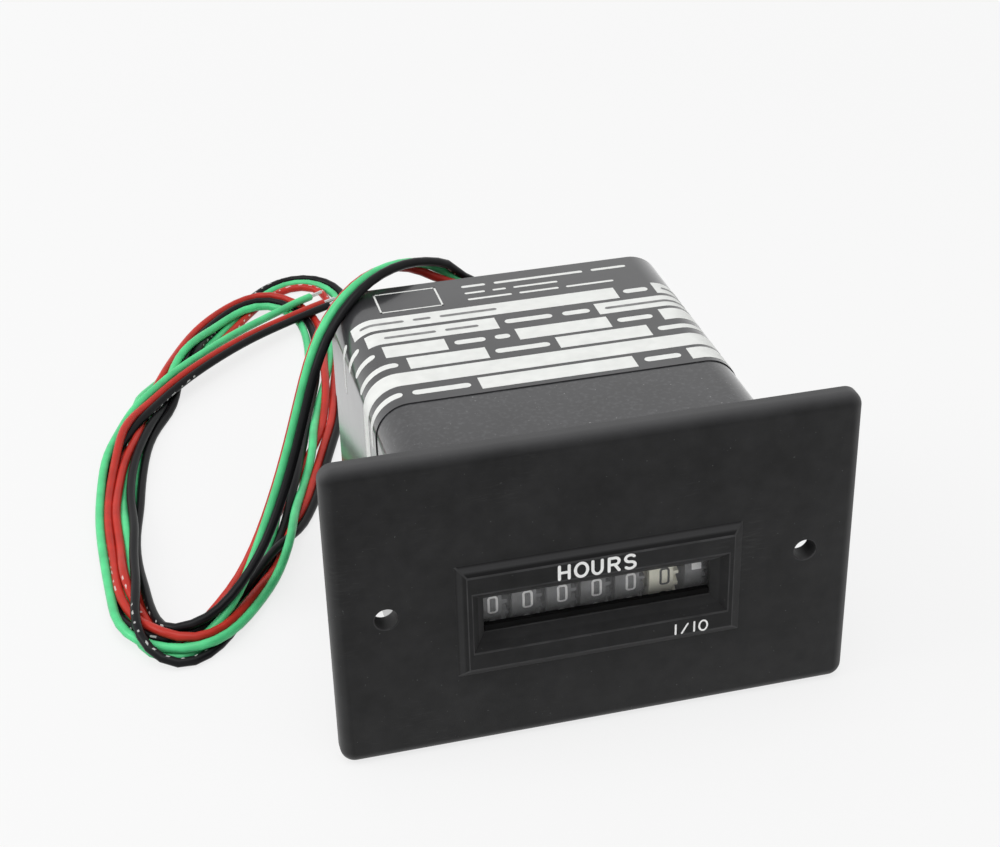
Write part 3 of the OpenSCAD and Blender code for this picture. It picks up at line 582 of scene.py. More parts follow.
# Plain finishes: slot or print, material, colour or colour setting, then roughness, specular level, metal,
# noise scale, depth of the mottling and grain
PLAIN_FINISHES = (
    ("bezel_edge", "bezel_edge", (0.029, 0.029, 0.03), 0.5, 0.3, 0.0, 260.0, 0.6, 0.0),
    # slot_black also serves as painted shade on the lens sill, in the gap below the wheels
    ("slot_black", "slot_black", (0.007, 0.007, 0.007), 0.8, 0.05, 0.0, 400.0, 0.18, 0.0),
    ("steel", "plated_steel", (0.55, 0.56, 0.58), 0.32, 0.5, 1.0, 600.0, 0.12, 0.0),
    ("brass", "turned_brass", (0.72, 0.55, 0.25), 0.3, 0.5, 1.0, 600.0, 0.12, 0.0),
    ("soft_rubber", "black_rubber", (0.02, 0.02, 0.02), 0.7, 0.3, 0.0, 500.0, 0.2, 0.3),
    ("wheel_black", "wheel_black", "wheel_black", 0.42, 0.4, 0.0, 700.0, 0.2, 0.1),
    ("wheel_cream", "wheel_cream", "wheel_cream", 0.45, 0.4, 0.0, 500.0, 0.06, 0.1),
    ("board", "circuit_board", (0.035, 0.16, 0.07), 0.4, 0.5, 0.0, 900.0, 0.25, 0.1),
    ("chip_black", "chip_epoxy", (0.02, 0.02, 0.02), 0.5, 0.4, 0.0, 1500.0, 0.25, 0.2),
    ("capacitor_sleeve", "capacitor_sleeve", (0.03, 0.05, 0.13), 0.35, 0.5, 0.0, 400.0, 0.15, 0.0),
    ("print_white", "white_print", "print_white", 0.5, 0.3, 0.0, 500.0, 0.05, 0.0),
    ("letter_white", "letter_white", (0.93, 0.93, 0.92), 0.5, 0.3, 0.0, 500.0, 0.05, 0.0),
    ("figure_white", "figure_white", (0.86, 0.86, 0.85), 0.5, 0.3, 0.0, 900.0, 0.08, 0.0),
    ("figure_black", "figure_black", (0.05, 0.05, 0.048), 0.5, 0.3, 0.0, 900.0, 0.2, 0.0),
    ("typed_grey", "typed_grey", "typed_grey", 0.5, 0.3, 0.0, 900.0, 0.3, 0.0),
    ("tinned", "tinned_strands", (0.62, 0.62, 0.62), 0.35, 0.5, 1.0, 900.0, 0.15, 0.0),
)


def make_finishes():
    """Every finish by the name of its slot or print."""
    c = colours()
    made = {
        "bezel_plastic": bezel_finish(),
        "case_plastic": case_finish(),
        "label_film": label_finish(),
        "clear_lens": lens_finish(),
        "lead_red": lead_finish("red_insulation", tuple(c.red), 0.2, True),
        "lead_green": lead_finish("green_insulation", tuple(c.green), 0.3, False),
        "lead_black": lead_finish("black_insulation", tuple(c.black), 0.12, True),
    }
    for slot, name, colour, *look in PLAIN_FINISHES:
        colour = tuple(getattr(c, colour)) if isinstance(colour, str) else colour
        made[slot] = mottled(name, colour, *look)
    return made


FINISHES = {}


def finish(slot):
    """A finish by its slot or print; all are made on the first call."""
    if not FINISHES:
        FINISHES.update(make_finishes())
    return FINISHES[slot]


# Meshes


def place(obj, body, slot, finish_name=None, replaced=()):
    """Gives a piece its finish and body, and hides the solids that it replaces; its slot is not used."""
    if finish_name:
        obj.data.materials.clear()
        obj.data.materials.append(finish(finish_name))
    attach(obj, body)
    if replaced:
        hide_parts(*replaced)
    return obj


def new_object(name, mesh):
    """An object in the scene that shows a mesh."""
    obj = bpy.data.objects.new(name, mesh)
    bpy.context.collection.objects.link(obj)
    return obj


def smoothed(mesh, sharp_angle=None):
    """Shades a mesh smoothly, apart from edges past an angle in degrees where one is given."""
    mesh.polygons.foreach_set("use_smooth", [True] * len(mesh.polygons))
    if sharp_angle:
        mesh.set_sharp_from_angle(angle=math.radians(sharp_angle))


def mesh_piece(name, verts, faces, smooth=False):
    """A mesh object from points in millimetres."""
    mesh = bpy.data.meshes.new(name)
    mesh.from_pydata([tuple(c * MM for c in v) for v in verts], [], faces)
    mesh.validate()
    if smooth:
        smoothed(mesh)
    return new_object(name, mesh)


def baked(obj):
    """Turns an object with modifiers into a plain mesh."""
    graph = bpy.context.evaluated_depsgraph_get()
    mesh = bpy.data.meshes.new_from_object(obj.evaluated_get(graph))
    obj.modifiers.clear()
    old = obj.data
    obj.data = mesh
    bpy.data.meshes.remove(old)
    return obj


# Copies of solids: distance in metres under which corners are merged, angle in degrees under which faces
# become one, and steps of a rounded edge
MERGE_DISTANCE = 1e-6
FLAT_ANGLE = 0.4
EDGE_STEPS = 2


def dressed_copy(node, slot, body=HOUSING, rounding=0.0, smooth_angle=35.0, edge_finish=None):
    """A merged, smoothly shaded copy that stands for a solid, with small rounded outer edges where asked."""
    mesh = frame["nodes"][node].data.copy()
    mesh.name = node + "_skin"
    bm = bmesh.new()
    bm.from_mesh(mesh)
    bmesh.ops.remove_doubles(bm, verts=bm.verts, dist=MERGE_DISTANCE)
    bmesh.ops.dissolve_limit(bm, angle_limit=math.radians(FLAT_ANGLE), verts=bm.verts, edges=bm.edges)
    bm.normal_update()
    weight = bm.edges.layers.float.new("bevel_weight_edge")
    for edge in bm.edges:
        sharp = edge.is_manifold and edge.is_convex and edge.calc_face_angle() > math.radians(smooth_angle)
        edge[weight] = float(sharp)
    bm.to_mesh(mesh)
    bm.free()
    mesh.materials.clear()
    mesh.materials.append(finish(slot))
    if mesh.has_custom_normals:
        mesh.attributes.remove(mesh.attributes["custom_normal"])
    obj = new_object(node + "_skin", mesh)
    smoothed(mesh, smooth_angle)
    if rounding:
        bevel = obj.modifiers.new("edges", "BEVEL")
        bevel.width = rounding
        bevel.segments = EDGE_STEPS
        bevel.limit_method = "WEIGHT"
        bevel.use_clamp_overlap = False
        bevel.harden_normals = True
        if edge_finish:
            mesh.materials.append(finish(edge_finish))
            bevel.material = 1
        baked(obj)
    return place(obj, body, slot, replaced=(node,))


# Print, in millimetres: length of a ribbon's parts on characters and on the label, and the height step
# between strokes that cross
CHARACTER_STEP = 0.25
LABEL_STEP = 0.6
STEP_UP = 0.006
# Steps of a ribbon's round end
CAP_STEPS = 6


def stroke_faces(points, width, verts, faces, mapper, step, up):
    """Adds a flat ribbon with round ends along a polyline; mapper puts its points up above the surface."""
    dense = [points[0]]
    for a, b in zip(points, points[1:]):
        parts = max(1, int(math.dist(a, b) / step))
        for i in range(1, parts + 1):
            dense.append((a[0] + (b[0] - a[0]) * i / parts, a[1] + (b[1] - a[1]) * i / parts))
    closed = math.dist(dense[0], dense[-1]) < 1e-6
    base = len(verts)
    last = len(dense) - 1
    for i, p in enumerate(dense):
        before = dense[i - 1] if i else (dense[last - 1] if closed else p)
        after = dense[i + 1] if i < last else (dense[1] if closed else p)
        length = math.dist(before, after) or 1.0
        nx, ny = -(after[1] - before[1]) / length, (after[0] - before[0]) / length
        for side in (-1, 1):
            verts.append(mapper(p[0] + side * nx * width / 2, p[1] + side * ny * width / 2, up))
    for i in range(last):
        a = base + 2 * i
        faces.append((a, a + 2, a + 3, a + 1))
    if closed:
        return
    for i, way in ((0, -1), (last, 1)):
        p, q = dense[i], dense[i - way]
        along = math.atan2(p[1] - q[1], p[0] - q[0])
        first = len(verts)
        cap = [along + math.pi * (k / CAP_STEPS - 0.5) for k in range(CAP_STEPS + 1)]
        verts += [mapper(p[0] + math.cos(a) * width / 2, p[1] + math.sin(a) * width / 2, up) for a in cap]
        faces.append(tuple(range(first, first + len(cap))))


def character(char, x, y, w, h, stroke, verts, faces, mapper):
    """Adds one letter or figure, each of its strokes a small step above the last."""
    for k, line in enumerate(STROKES[char]):
        points = [(x + w * px, y + h * py) for px, py in line]
        stroke_faces(points, stroke, verts, faces, mapper, CHARACTER_STEP, k * STEP_UP)


def face_mapper(y):
    """Print on a face that looks to the front."""
    return lambda a, b, up: (a, y - up, b)


def wheel_mapper(turn, lift):
    """Print on a wheel's rim: height becomes an angle about the wheel axis."""

    def put(a, b, up):
        r = WHEEL_R + lift + up
        t = b / WHEEL_R - turn
        return (a, WHEEL_Y - r * math.cos(t), WHEEL_Z + r * math.sin(t))
    return put


def label_mapper(lift):
    """Print on the label: distance from the middle runs over the top and down both sides."""
    flat = CASE_HALF_W - CASE_R
    r = CASE_R + LABEL_T
    quarter = r * math.pi / 2

    def put(s, y, up):
        side = math.copysign(1.0, s)
        over = abs(s) - flat
        out = r + lift + up
        if over <= 0:
            return (s, y, CASE_TOP - CASE_R + out)
        if over < quarter:
            t = over / r
            return (side * (flat + out * math.sin(t)), y, CASE_TOP - CASE_R + out * math.cos(t))
        return (side * (flat + out), y, CASE_TOP - CASE_R - (over - quarter))
    return put


def patch(s0, s1, y0, y1, verts, faces, mapper):
    """A strip of print that follows the label round the case's edges."""
    parts = max(1, int(math.ceil((s1 - s0) / LABEL_STEP)))
    base = len(verts)
    for i in range(parts + 1):
        s = s0 + (s1 - s0) * i / parts
        verts += [mapper(s, y0, 0.0), mapper(s, y1, 0.0)]
    faces += [(base + 2 * i, base + 2 * i + 2, base + 2 * i + 3, base + 2 * i + 1) for i in range(parts)]


def bars(ends, y, height, verts, faces, mapper):
    """Plain bars with round ends."""
    half = height / 2
    for s0, s1 in ends:
        stroke_faces([(s0 + half, y), (s1 - half, y)], height, verts, faces, mapper, LABEL_STEP, 0.0)


# Geometry Nodes


class NodeTree(Nodes):
    """A Geometry Nodes tree with named inputs that ends in Realize Instances and Set Material."""

    def __init__(self, name, inputs, material):
        super().__init__(bpy.data.node_groups.new(name, "GeometryNodeTree"))
        face = self.tree.interface
        for way in ("INPUT", "OUTPUT"):
            face.new_socket("Geometry", in_out=way, socket_type="NodeSocketGeometry")
        self.ids = {}
        for label, kind, value in inputs:
            socket = face.new_socket(label, in_out="INPUT", socket_type=kind)
            socket.default_value = value
            self.ids[label] = socket.identifier
        self.source = self.node("NodeGroupInput")
        self.realize = self.node("GeometryNodeRealizeInstances")
        paint = self.node("GeometryNodeSetMaterial")
        paint.inputs["Material"].default_value = material
        out = self.node("NodeGroupOutput")
        self.link(self.realize.outputs[0], paint.inputs[0])
        self.link(paint.outputs[0], out.inputs[0])

    def given(self, label):
        return self.source.outputs[label]

    def index(self):
        return self.node("GeometryNodeInputIndex").outputs[0]

    def scatter(self, points, instance, rotation=None):
        """Sets the instance on every point and sends the result to the tree's end."""
        n = self.node("GeometryNodeInstanceOnPoints")
        self.link(points, n.inputs["Points"])
        self.link(instance, n.inputs["Instance"])
        if rotation is not None:
            self.link(rotation, n.inputs["Rotation"])
        self.link(n.outputs["Instances"], self.realize.inputs["Geometry"])

    def bake(self, obj, values):
        """Runs the tree on an object, with its inputs set, and leaves a plain mesh."""
        modifier = obj.modifiers.new("pattern", "NODES")
        modifier.node_group = self.tree
        for label, value in values.items():
            modifier[self.ids[label]] = value
        return baked(obj)


def points_object(name, points):
    """Bare points in millimetres for a Geometry Nodes tree to work on."""
    return mesh_piece(name, points, [])


# Cover screws, in millimetres: radius and height of a head
SCREW_HEAD_R = 2.4
SCREW_HEAD_H = 1.2
# Sides of a head, and the angle in degrees past which its edges stay sharp
SCREW_SIDES = 32
SCREW_SMOOTH_ANGLE = 40
# Outline of a head from foot to top, as shares of its radius and height
SCREW_OUTLINE = ((1.0, 0.0), (1.0, 0.35), (0.93, 0.7), (0.72, 0.93), (0.4, 1.0))
# Cross recess: arm and half width as shares of the radius, and height of its cutter as a share of the head's
CROSS_ARM = 0.62
CROSS_HALF_W = 0.2
CROSS_CUTTER = 1.1
# Turn from one screw to the next, in radians
SCREW_TURN = 0.7


def bmesh_object(name, bm):
    """An object that takes over a bmesh, which is then freed."""
    mesh = bpy.data.meshes.new(name)
    bm.to_mesh(mesh)
    bm.free()
    return new_object(name, mesh)


def screw_head():
    """A domed pan head with a cross recess, its foot at the origin and its top along +Z."""
    r, h = SCREW_HEAD_R, SCREW_HEAD_H
    bm = bmesh.new()
    angles = [2 * math.pi * k / SCREW_SIDES for k in range(SCREW_SIDES)]
    rings = []
    for wide, tall in SCREW_OUTLINE:
        x, z = wide * r, tall * h
        rings.append([bm.verts.new((x * math.cos(a), x * math.sin(a), z)) for a in angles])
    for low, high in zip(rings, rings[1:]):
        for k in range(SCREW_SIDES):
            after = (k + 1) % SCREW_SIDES
            bm.faces.new((low[k], low[after], high[after], high[k]))
    bm.faces.new(list(reversed(rings[0])))
    bm.faces.new(rings[-1])
    head = bmesh_object("screw_head", bm)
    arm, half_w = CROSS_ARM * r, CROSS_HALF_W * r
    cross = bmesh.new()
    for sx, sy in ((arm, half_w), (half_w, arm)):
        block = Matrix.Translation((0, 0, h)) @ Matrix.Diagonal((2 * sx, 2 * sy, CROSS_CUTTER * h, 1))
        bmesh.ops.create_cube(cross, size=1.0, matrix=block)
    cutter = bmesh_object("cross", cross)
    cut = head.modifiers.new("recess", "BOOLEAN")
    cut.operation = "DIFFERENCE"
    cut.object = cutter
    cut.solver = "EXACT"
    cut.use_self = True
    baked(head)
    bpy.data.objects.remove(cutter)
    smoothed(head.data, SCREW_SMOOTH_ANGLE)
    head.data.transform(Matrix.Scale(MM, 4))
    return head


# Leads


def catmull(points, steps):
    """A smooth curve through points, with so many steps between two of them."""
    p = [np.array(q, float) for q in points]
    out = []
    for i in range(len(p) - 1):
        a, b, c, d = p[max(i - 1, 0)], p[i], p[i + 1], p[min(i + 2, len(p) - 1)]
        for s in range(steps):
            t = s / steps
            out.append(0.5 * (2 * b + (c - a) * t + (2 * a - 5 * b + 4 * c - d) * t * t
                              + (3 * b - a - 3 * c + d) * t ** 3))
    return np.array(out + [p[-1]])


def unit(v):
    """Vectors at the length of one."""
    return v / np.maximum(np.linalg.norm(v, axis=-1, keepdims=True), 1e-9)


def frames_along(c):
    """Headings and a direction across the curve that turns as little as possible."""
    heading = np.gradient(c, axis=0)
    heading[0] = (0.0, 1.0, 0.0)
    heading = unit(heading)
    across = np.zeros_like(c)
    v = np.array((1.0, 0.0, 0.0))
    for i, t in enumerate(heading):
        v = unit(v - (v @ t) * t)
        across[i] = v
    return heading, across


def level_frames(c):
    """Headings and the level direction to the right of each heading."""
    heading = unit(np.gradient(c, axis=0))
    right = unit(np.cross(heading, (0.0, 0.0, 1.0)))
    return heading, right


def soften(values, sigma):
    """Smooths rows of values along a lead, with its ends held."""
    reach = int(3 * sigma)
    kernel = np.exp(-0.5 * (np.arange(-reach, reach + 1) / sigma) ** 2)
    kernel /= kernel.sum()
    padded = np.pad(values, ((reach, reach), (0, 0)), mode="edge")
    return np.stack([np.convolve(padded[:, k], kernel, mode="valid") for k in range(values.shape[1])], axis=1)


def spans(c):
    """Distances between neighbouring points of a path."""
    return np.linalg.norm(np.diff(c, axis=0), axis=1)


def distance_along(c):
    """Distance of each point of a path from its start."""
    return np.concatenate(([0.0], np.cumsum(spans(c))))


def resampled(c, spacing):
    """Points at an even spacing along a path."""
    s = distance_along(c)
    count = int(s[-1] / spacing)
    at = np.linspace(0.0, s[-1], count + 1)
    return np.stack([np.interp(at, s, c[:, k]) for k in range(3)], axis=1)


def floor_height(y):
    """Height of the resting plane at a depth, in millimetres."""
    return FLOOR_Z + FLOOR_RISE * y


# Route of the leads: steps between two of its points; then, in points, where the bundle comes loose and over
# how many, how many are held still, and over how many a change of order is drawn out
ROUTE_STEPS = 10
LOOSE_FROM = 1.5
LOOSE_OVER = 2.0
HELD_POINTS = 3
ORDER_BLUR = 0.5
# In lead diameters: spacing of the points that settle, and half a step between leads
POINT_SPACING = 0.8
HALF_STEP = 0.525


def lead_paths(lead_d, bundle_r, rounds):
    """Middle lines of the leads: a twisted bundle over the case's corner, then loose turns that settle."""
    arch = [np.add(LEAD_EXIT, p) for p in FROM_EXIT] + [np.add(LEAD_CORNER, p) for p in FROM_CORNER]
    turns = [(x, y, floor_height(y) + h) for x, y, h in TURNS]
    spine = catmull(arch + turns, ROUTE_STEPS)
    place_on = np.arange(len(spine)) / ROUTE_STEPS
    heading, across = frames_along(spine)
    below = np.cross(heading, across)
    right = level_frames(spine)[1]
    loose = np.clip((place_on - LOOSE_FROM) / LOOSE_OVER, 0.0, 1.0)[:, None]
    stations = np.array([row[0] for row in ORDER]) + len(arch)
    tail = np.clip((place_on - len(arch) - TAIL_START) / (len(TURNS) - 1 - TAIL_START), 0.0, 1.0)
    held = HELD_POINTS * ROUTE_STEPS
    spacing = POINT_SPACING * lead_d
    paths, holds = [], []
    for k, (colour, sign, strand) in enumerate(LEADS):
        angle = np.radians(BUNDLE_START + 360 / len(LEADS) * strand + BUNDLE_TWIST * place_on)[:, None]
        twisted = bundle_r * (np.cos(angle) * across + np.sin(angle) * below)
        half_steps = [len(row[1]) // 2 - row[1].index(sign) for row in ORDER]
        side = np.interp(place_on, stations, [count * HALF_STEP * lead_d for count in half_steps])
        lift = np.interp(place_on, stations, [row[2 + k] for row in ORDER])
        side, lift = soften(np.stack((side, lift), axis=1), ORDER_BLUR * ROUTE_STEPS).T
        if colour == "green":
            side = side - TAIL_SPREAD * tail
        laid = side[:, None] * right + lift[:, None] * np.array((0.0, 0.0, 1.0))
        c = spine + (1 - loose) * twisted + loose * laid
        paths.append(resampled(c, spacing))
        holds.append(int(spans(c[:held + 1]).sum() / spacing))
    return settle(paths, holds, lead_d, rounds)


# Settling, in lead diameters: least distance of two leads' middles, and reach of the search for near points
CLEAR = 1.02
SEARCH = 2.6
# Rounds between two searches, neighbours along a lead that they pass over, and points over which a lead
# gets free
SEARCH_EVERY = 8
NEIGHBOURS = 7
FREE_OVER = 14.0
# Pull towards the drawn route, sag in millimetres a round, the height under which leads sag, and the gap
# over the floor
PULL_HOME = 0.025
SAG = 0.025
SAG_BELOW = -12.0
FLOOR_GAP = 0.02
# Share of the rounds after which pull and sag stop, gain and blur of a move, blur of a path, and how much of
# that blur is taken on before and after
LATE = 0.75
MOVE_GAIN = 1.5
MOVE_BLUR = 3.0
PATH_BLUR = 1.5
SMOOTH, SMOOTH_LATE = 0.4, 0.1


def settle(paths, holds, d, rounds):
    """Moves leads apart where they would lie in each other, on the floor and with long easy bends."""
    pts = np.concatenate(paths)
    cuts = np.cumsum([len(c) for c in paths])[:-1]
    wire = np.concatenate([np.full(len(c), k) for k, c in enumerate(paths)])
    order = np.concatenate([np.arange(len(c)) for c in paths])
    past_hold = np.concatenate([np.arange(len(c)) - h for c, h in zip(paths, holds)])
    free = np.clip(past_hold / FREE_OVER, 0.0, 1.0)[:, None]
    home = pts.copy()
    for step in range(rounds):
        if step % SEARCH_EVERY == 0:
            i, j = near_pairs(pts, wire, order, SEARCH * d)
        diff = pts[i] - pts[j]
        dist = np.maximum(np.linalg.norm(diff, axis=1), 1e-3)
        depth = np.maximum(CLEAR * d - dist, 0.0)
        push = (0.5 * depth / dist)[:, None] * diff
        move = np.zeros_like(pts)
        hits = np.ones(len(pts))
        np.add.at(move, i, push)
        np.add.at(move, j, -push)
        np.add.at(hits, i, depth > 0)
        np.add.at(hits, j, depth > 0)
        move /= np.sqrt(hits)[:, None]
        late = step > LATE * rounds
        if not late:
            move += PULL_HOME * (home - pts)
            move[:, 2] -= SAG * (pts[:, 2] < SAG_BELOW)
        low = floor_height(pts[:, 1]) + d / 2 + FLOOR_GAP - pts[:, 2]
        move[:, 2] += np.maximum(low, 0.0)
        eased = np.concatenate([soften(m, MOVE_BLUR) for m in np.split(move, cuts)])
        pts += free * MOVE_GAIN * eased
        smooth = np.concatenate([soften(c, PATH_BLUR) for c in np.split(pts, cuts)])
        pts += free * (SMOOTH_LATE if late else SMOOTH) * (smooth - pts)
        pts[:, 2] = np.maximum(pts[:, 2], floor_height(pts[:, 1]) + d / 2 + FLOOR_GAP)
    return np.split(pts, cuts)


def near_pairs(pts, wire, order, reach):
    """Pairs of points closer than reach, apart from neighbours along one lead."""
    rows = pts.astype(np.float32)
    sq = (rows ** 2).sum(1)
    gap = sq[:, None] + sq[None, :] - 2 * rows @ rows.T
    i, j = np.nonzero(np.triu(gap < reach ** 2, 1))
    keep = (wire[i] != wire[j]) | (np.abs(order[i] - order[j]) > NEIGHBOURS)
    return i[keep], j[keep]


# Sides of a lead's tube, and the angle in degrees past which its edges stay sharp
LEAD_SIDES = 12
LEAD_SMOOTH_ANGLE = 50


def tube(name, c, r):
    """A closed tube along a path in millimetres; its UV map runs along the lead in metres and round it."""
    sides = LEAD_SIDES
    heading, across = level_frames(c)
    upward = np.cross(across, heading)
    angles = 2 * np.pi * np.arange(sides) / sides
    rings = c[:, None, :] + r * (np.cos(angles)[None, :, None] * across[:, None, :]
                                 + np.sin(angles)[None, :, None] * upward[:, None, :])
    verts = [tuple(v) for v in rings.reshape(-1, 3)]
    last = (len(c) - 1) * sides
    faces = []
    for first in range(0, last, sides):
        for k in range(sides):
            a, b = first + k, first + (k + 1) % sides
            faces.append((a, b, b + sides, a + sides))
    faces.append(tuple(reversed(range(sides))))
    faces.append(tuple(range(last, last + sides)))
    obj = mesh_piece(name, verts, faces)
    smoothed(obj.data, LEAD_SMOOTH_ANGLE)
    along = distance_along(c) * MM
    uv = obj.data.uv_layers.new(name="UVMap").data
    for poly in obj.data.polygons:
        corners = [obj.data.loops[i].vertex_index for i in poly.loop_indices]
        wraps = any(v % sides == sides - 1 for v in corners) and any(v % sides == 0 for v in corners)
        for i, v in zip(poly.loop_indices, corners):
            k = v % sides
            uv[i].uv = (along[v // sides], (k if k or not wraps else sides) / sides)
    return obj


# Bare end: sides of a strand, and how far the strands' middle stands out, as a share of their length
STRAND_SIDES = 8
STRAND_SEAT = 0.42


def bare_strands(name, end, way, length, strand_d):
    """Seven tinned strands at a lead's stripped end, laid round each other by Geometry Nodes."""
    inputs = (("Strand radius", "NodeSocketFloat", strand_d / 2), ("Length", "NodeSocketFloat", length))
    tree = NodeTree(name, inputs, finish("tinned"))
    rod = tree.node("GeometryNodeMeshCylinder", vertices=STRAND_SIDES)
    tree.link(tree.given("Strand radius"), rod.inputs["Radius"])
    tree.link(tree.given("Length"), rod.inputs["Depth"])
    tree.scatter(tree.given("Geometry"), rod.outputs["Mesh"])
    d = strand_d / MM
    angles = [math.radians(60 * k) for k in range(6)]
    obj = points_object(name, [(0, 0, 0)] + [(d * math.cos(a), d * math.sin(a), 0) for a in angles])
    tree.bake(obj, {"Strand radius": strand_d / 2, "Length": length})
    turn = Vector((0, 0, 1)).rotation_difference(Vector(way)).to_matrix().to_4x4()
    middle = Vector(end) * MM + Vector(way) * length * STRAND_SEAT
    obj.data.transform(Matrix.Translation(middle) @ turn)
    return obj


# Operators

# Lamps: name, place and diameter in metres, and power in watts; all aim at one point
LAMPS = (("top_light", (-0.12, -0.2, 1.15), 1.1, 7.8), ("left_light", (-0.9, 0.1, 0.6), 0.7, 4.0))
LAMP_AIM = (-0.02, 0.05, 0.0)
# Strength of the surroundings as light, and where they are seen
WORLD_LIGHT = 0.5
WORLD_SEEN = 0.96
# Floor: half its width in millimetres, and its shade where it is seen
FLOOR_HALF_W = 4000.0
FLOOR_SEEN = grey(0.15)
# Glow of the floor where it is seen, from near to far, and those distances in metres; the dimmer glow near
# the meter is a painted soft shade round it
GLOW_WITH_PAINTED_SHADE = (0.78, 0.88)
GLOW_RANGE = (0.25, 1.4)


class METER_OT_stage(bpy.types.Operator):
    """Sets the camera of the photograph, a pale floor and soft studio light"""

    bl_idname = "meter.stage"
    bl_label = "Camera, Floor and Light"

    def execute(self, context):
        scene = context.scene
        scene.view_settings.view_transform = "Standard"
        data = bpy.data.cameras.new("photo_camera")
        data.sensor_fit = "HORIZONTAL"
        data.sensor_width = CAMERA_SENSOR
        data.lens = CAMERA_LENS
        data.clip_start = CAMERA_CLIP
        camera = bpy.data.objects.new("photo_camera", data)
        axes = Matrix((CAMERA_RIGHT, CAMERA_UP, CAMERA_BACK)).transposed().to_4x4()
        camera.matrix_world = Matrix.Translation(Vector(CAMERA_PLACE) * MM) @ axes
        context.collection.objects.link(camera)
        scene.camera = camera
        self.floor()
        self.world(scene)
        for lamp in LAMPS:
            self.lamp(*lamp)
        return {"FINISHED"}

    def floor(self):
        """A pale floor; it glows where seen, dimmer near the meter as painted shade, and reflects light
        elsewhere.
        """
        square = [(x * FLOOR_HALF_W, y * FLOOR_HALF_W) for x, y in ((-1, -1), (1, -1), (1, 1), (-1, 1))]
        floor = mesh_piece("floor", [(x, y, floor_height(y)) for x, y in square], [(0, 1, 2, 3)])
        f = Finish("pale_floor", 1.0, 0.0)
        f.fix({"Emission Color": (1, 1, 1, 1)})
        seen = f.seen()
        far = f.node("ShaderNodeVectorMath", operation="LENGTH")
        f.link(f.coords(), far.inputs[0])
        # Glow where the floor is seen, dimmer near the meter: painted soft shade round it
        glow_with_painted_shade = f.product(seen, f.spread(far.outputs["Value"], *GLOW_WITH_PAINTED_SHADE, *GLOW_RANGE))
        f.link(glow_with_painted_shade, f.shader.inputs["Emission Strength"])
        paint = tuple(colours().floor)
        paint = f.ramp(f.noise(6.0, 2.0), (0.3, tint(paint, 0.99)), (0.7, paint))
        f.base(f.mix(seen, paint, FLOOR_SEEN))
        floor.data.materials.append(f.material)

    def world(self, scene):
        """White surroundings, brighter where they are seen than as light."""
        world = bpy.data.worlds.new("studio")
        scene.world = world
        world.use_nodes = True
        nodes = Nodes(world.node_tree)
        back = nodes.tree.nodes["Background"]
        back.inputs["Color"].default_value = (1, 1, 1, 1)
        nodes.link(nodes.spread(nodes.seen(), WORLD_LIGHT, WORLD_SEEN), back.inputs["Strength"])

    def lamp(self, name, spot, size, power):
        """A round soft lamp that looks at the meter."""
        data = bpy.data.lights.new(name, "AREA")
        data.shape = "DISK"
        data.size = size
        data.energy = power
        lamp = bpy.data.objects.new(name, data)
        lamp.location = spot
        lamp.rotation_euler = (Vector(LAMP_AIM) - Vector(spot)).to_track_quat("-Z", "Y").to_euler()
        bpy.context.collection.objects.link(lamp)


# Lead cords: every how many settled points the smooth curve takes one, its steps between two, and the spacing
# of rings in lead diameters
CORD_EVERY = 2
CORD_STEPS = 4
RING_SPACING = 1.7


class METER_OT_leads(bpy.types.Operator):
    """Lays the three hook-up leads over the case's corner and into their loose turns"""

    bl_idname = "meter.leads"
    bl_label = "Leads"

    def execute(self, context):
        s = sizes()
        d = s.lead_d / MM
        paths = lead_paths(d, s.bundle_r / MM, s.settle_rounds)
        for (colour, _, _), path in zip(LEADS, paths):
            line = resampled(catmull(path[::CORD_EVERY], CORD_STEPS), RING_SPACING * d)
            obj = tube(colour + "_lead_cord", line, d / 2)
            way = unit(line[-1] - line[-3])
            end = bare_strands(colour + "_lead_end", line[-1], way, s.strip_len, s.strand_d)
            nodes = (colour + "_lead", "lead_coil") if colour == "green" else (colour + "_lead",)
            place(obj, HOUSING, "lead_" + colour, "lead_" + colour, nodes)
            place(end, HOUSING, "steel")
        return {"FINISHED"}


# Angle in degrees past which the bezel's edges stay sharp, and stroke of the tenths sign as a share of the
# title's
BEZEL_SMOOTH_ANGLE = 28.0
SIGN_STROKE = 0.62


class METER_OT_bezel(bpy.types.Operator):
    """Dresses the bezel and adds the window's lettering and the ledge in front of its lens, near black as
    painted shade
    """

    bl_idname = "meter.bezel"
    bl_label = "Bezel and Lettering"

    def execute(self, context):
        s = sizes()
        dressed_copy("front_bezel", "bezel_plastic", HOUSING, s.edge_round, BEZEL_SMOOTH_ANGLE, "bezel_edge")
        verts, faces = [], []
        put = face_mapper(FRAME_FRONT_Y - s.print_lift / MM)
        for rows, share in ((TITLE, 1.0), (TENTHS_SIGN, SIGN_STROKE)):
            for char, x, z, w, h in rows:
                character(char, x, z, w, h, share * s.title_stroke / MM, verts, faces, put)
        place(mesh_piece("window_lettering", verts, faces), HOUSING, "label_film", "letter_white")
        self.sill()
        return {"FINISHED"}

    def sill(self):
        """A strip on the slot's lower edge, in front of the lens, near black as painted shade in the gap
        below the wheels.
        """
        (x0, x1), (y0, y1), (z0, z1) = SILL
        verts = [(x, y, z) for x in (x0, x1) for y in (y0, y1) for z in (z0, z1)]
        faces = [(0, 1, 3, 2), (4, 6, 7, 5), (0, 4, 5, 1), (2, 3, 7, 6), (0, 2, 6, 4), (1, 5, 7, 3)]
        place(mesh_piece("lens_sill", verts, faces), HOUSING, "bezel_plastic", "slot_black")


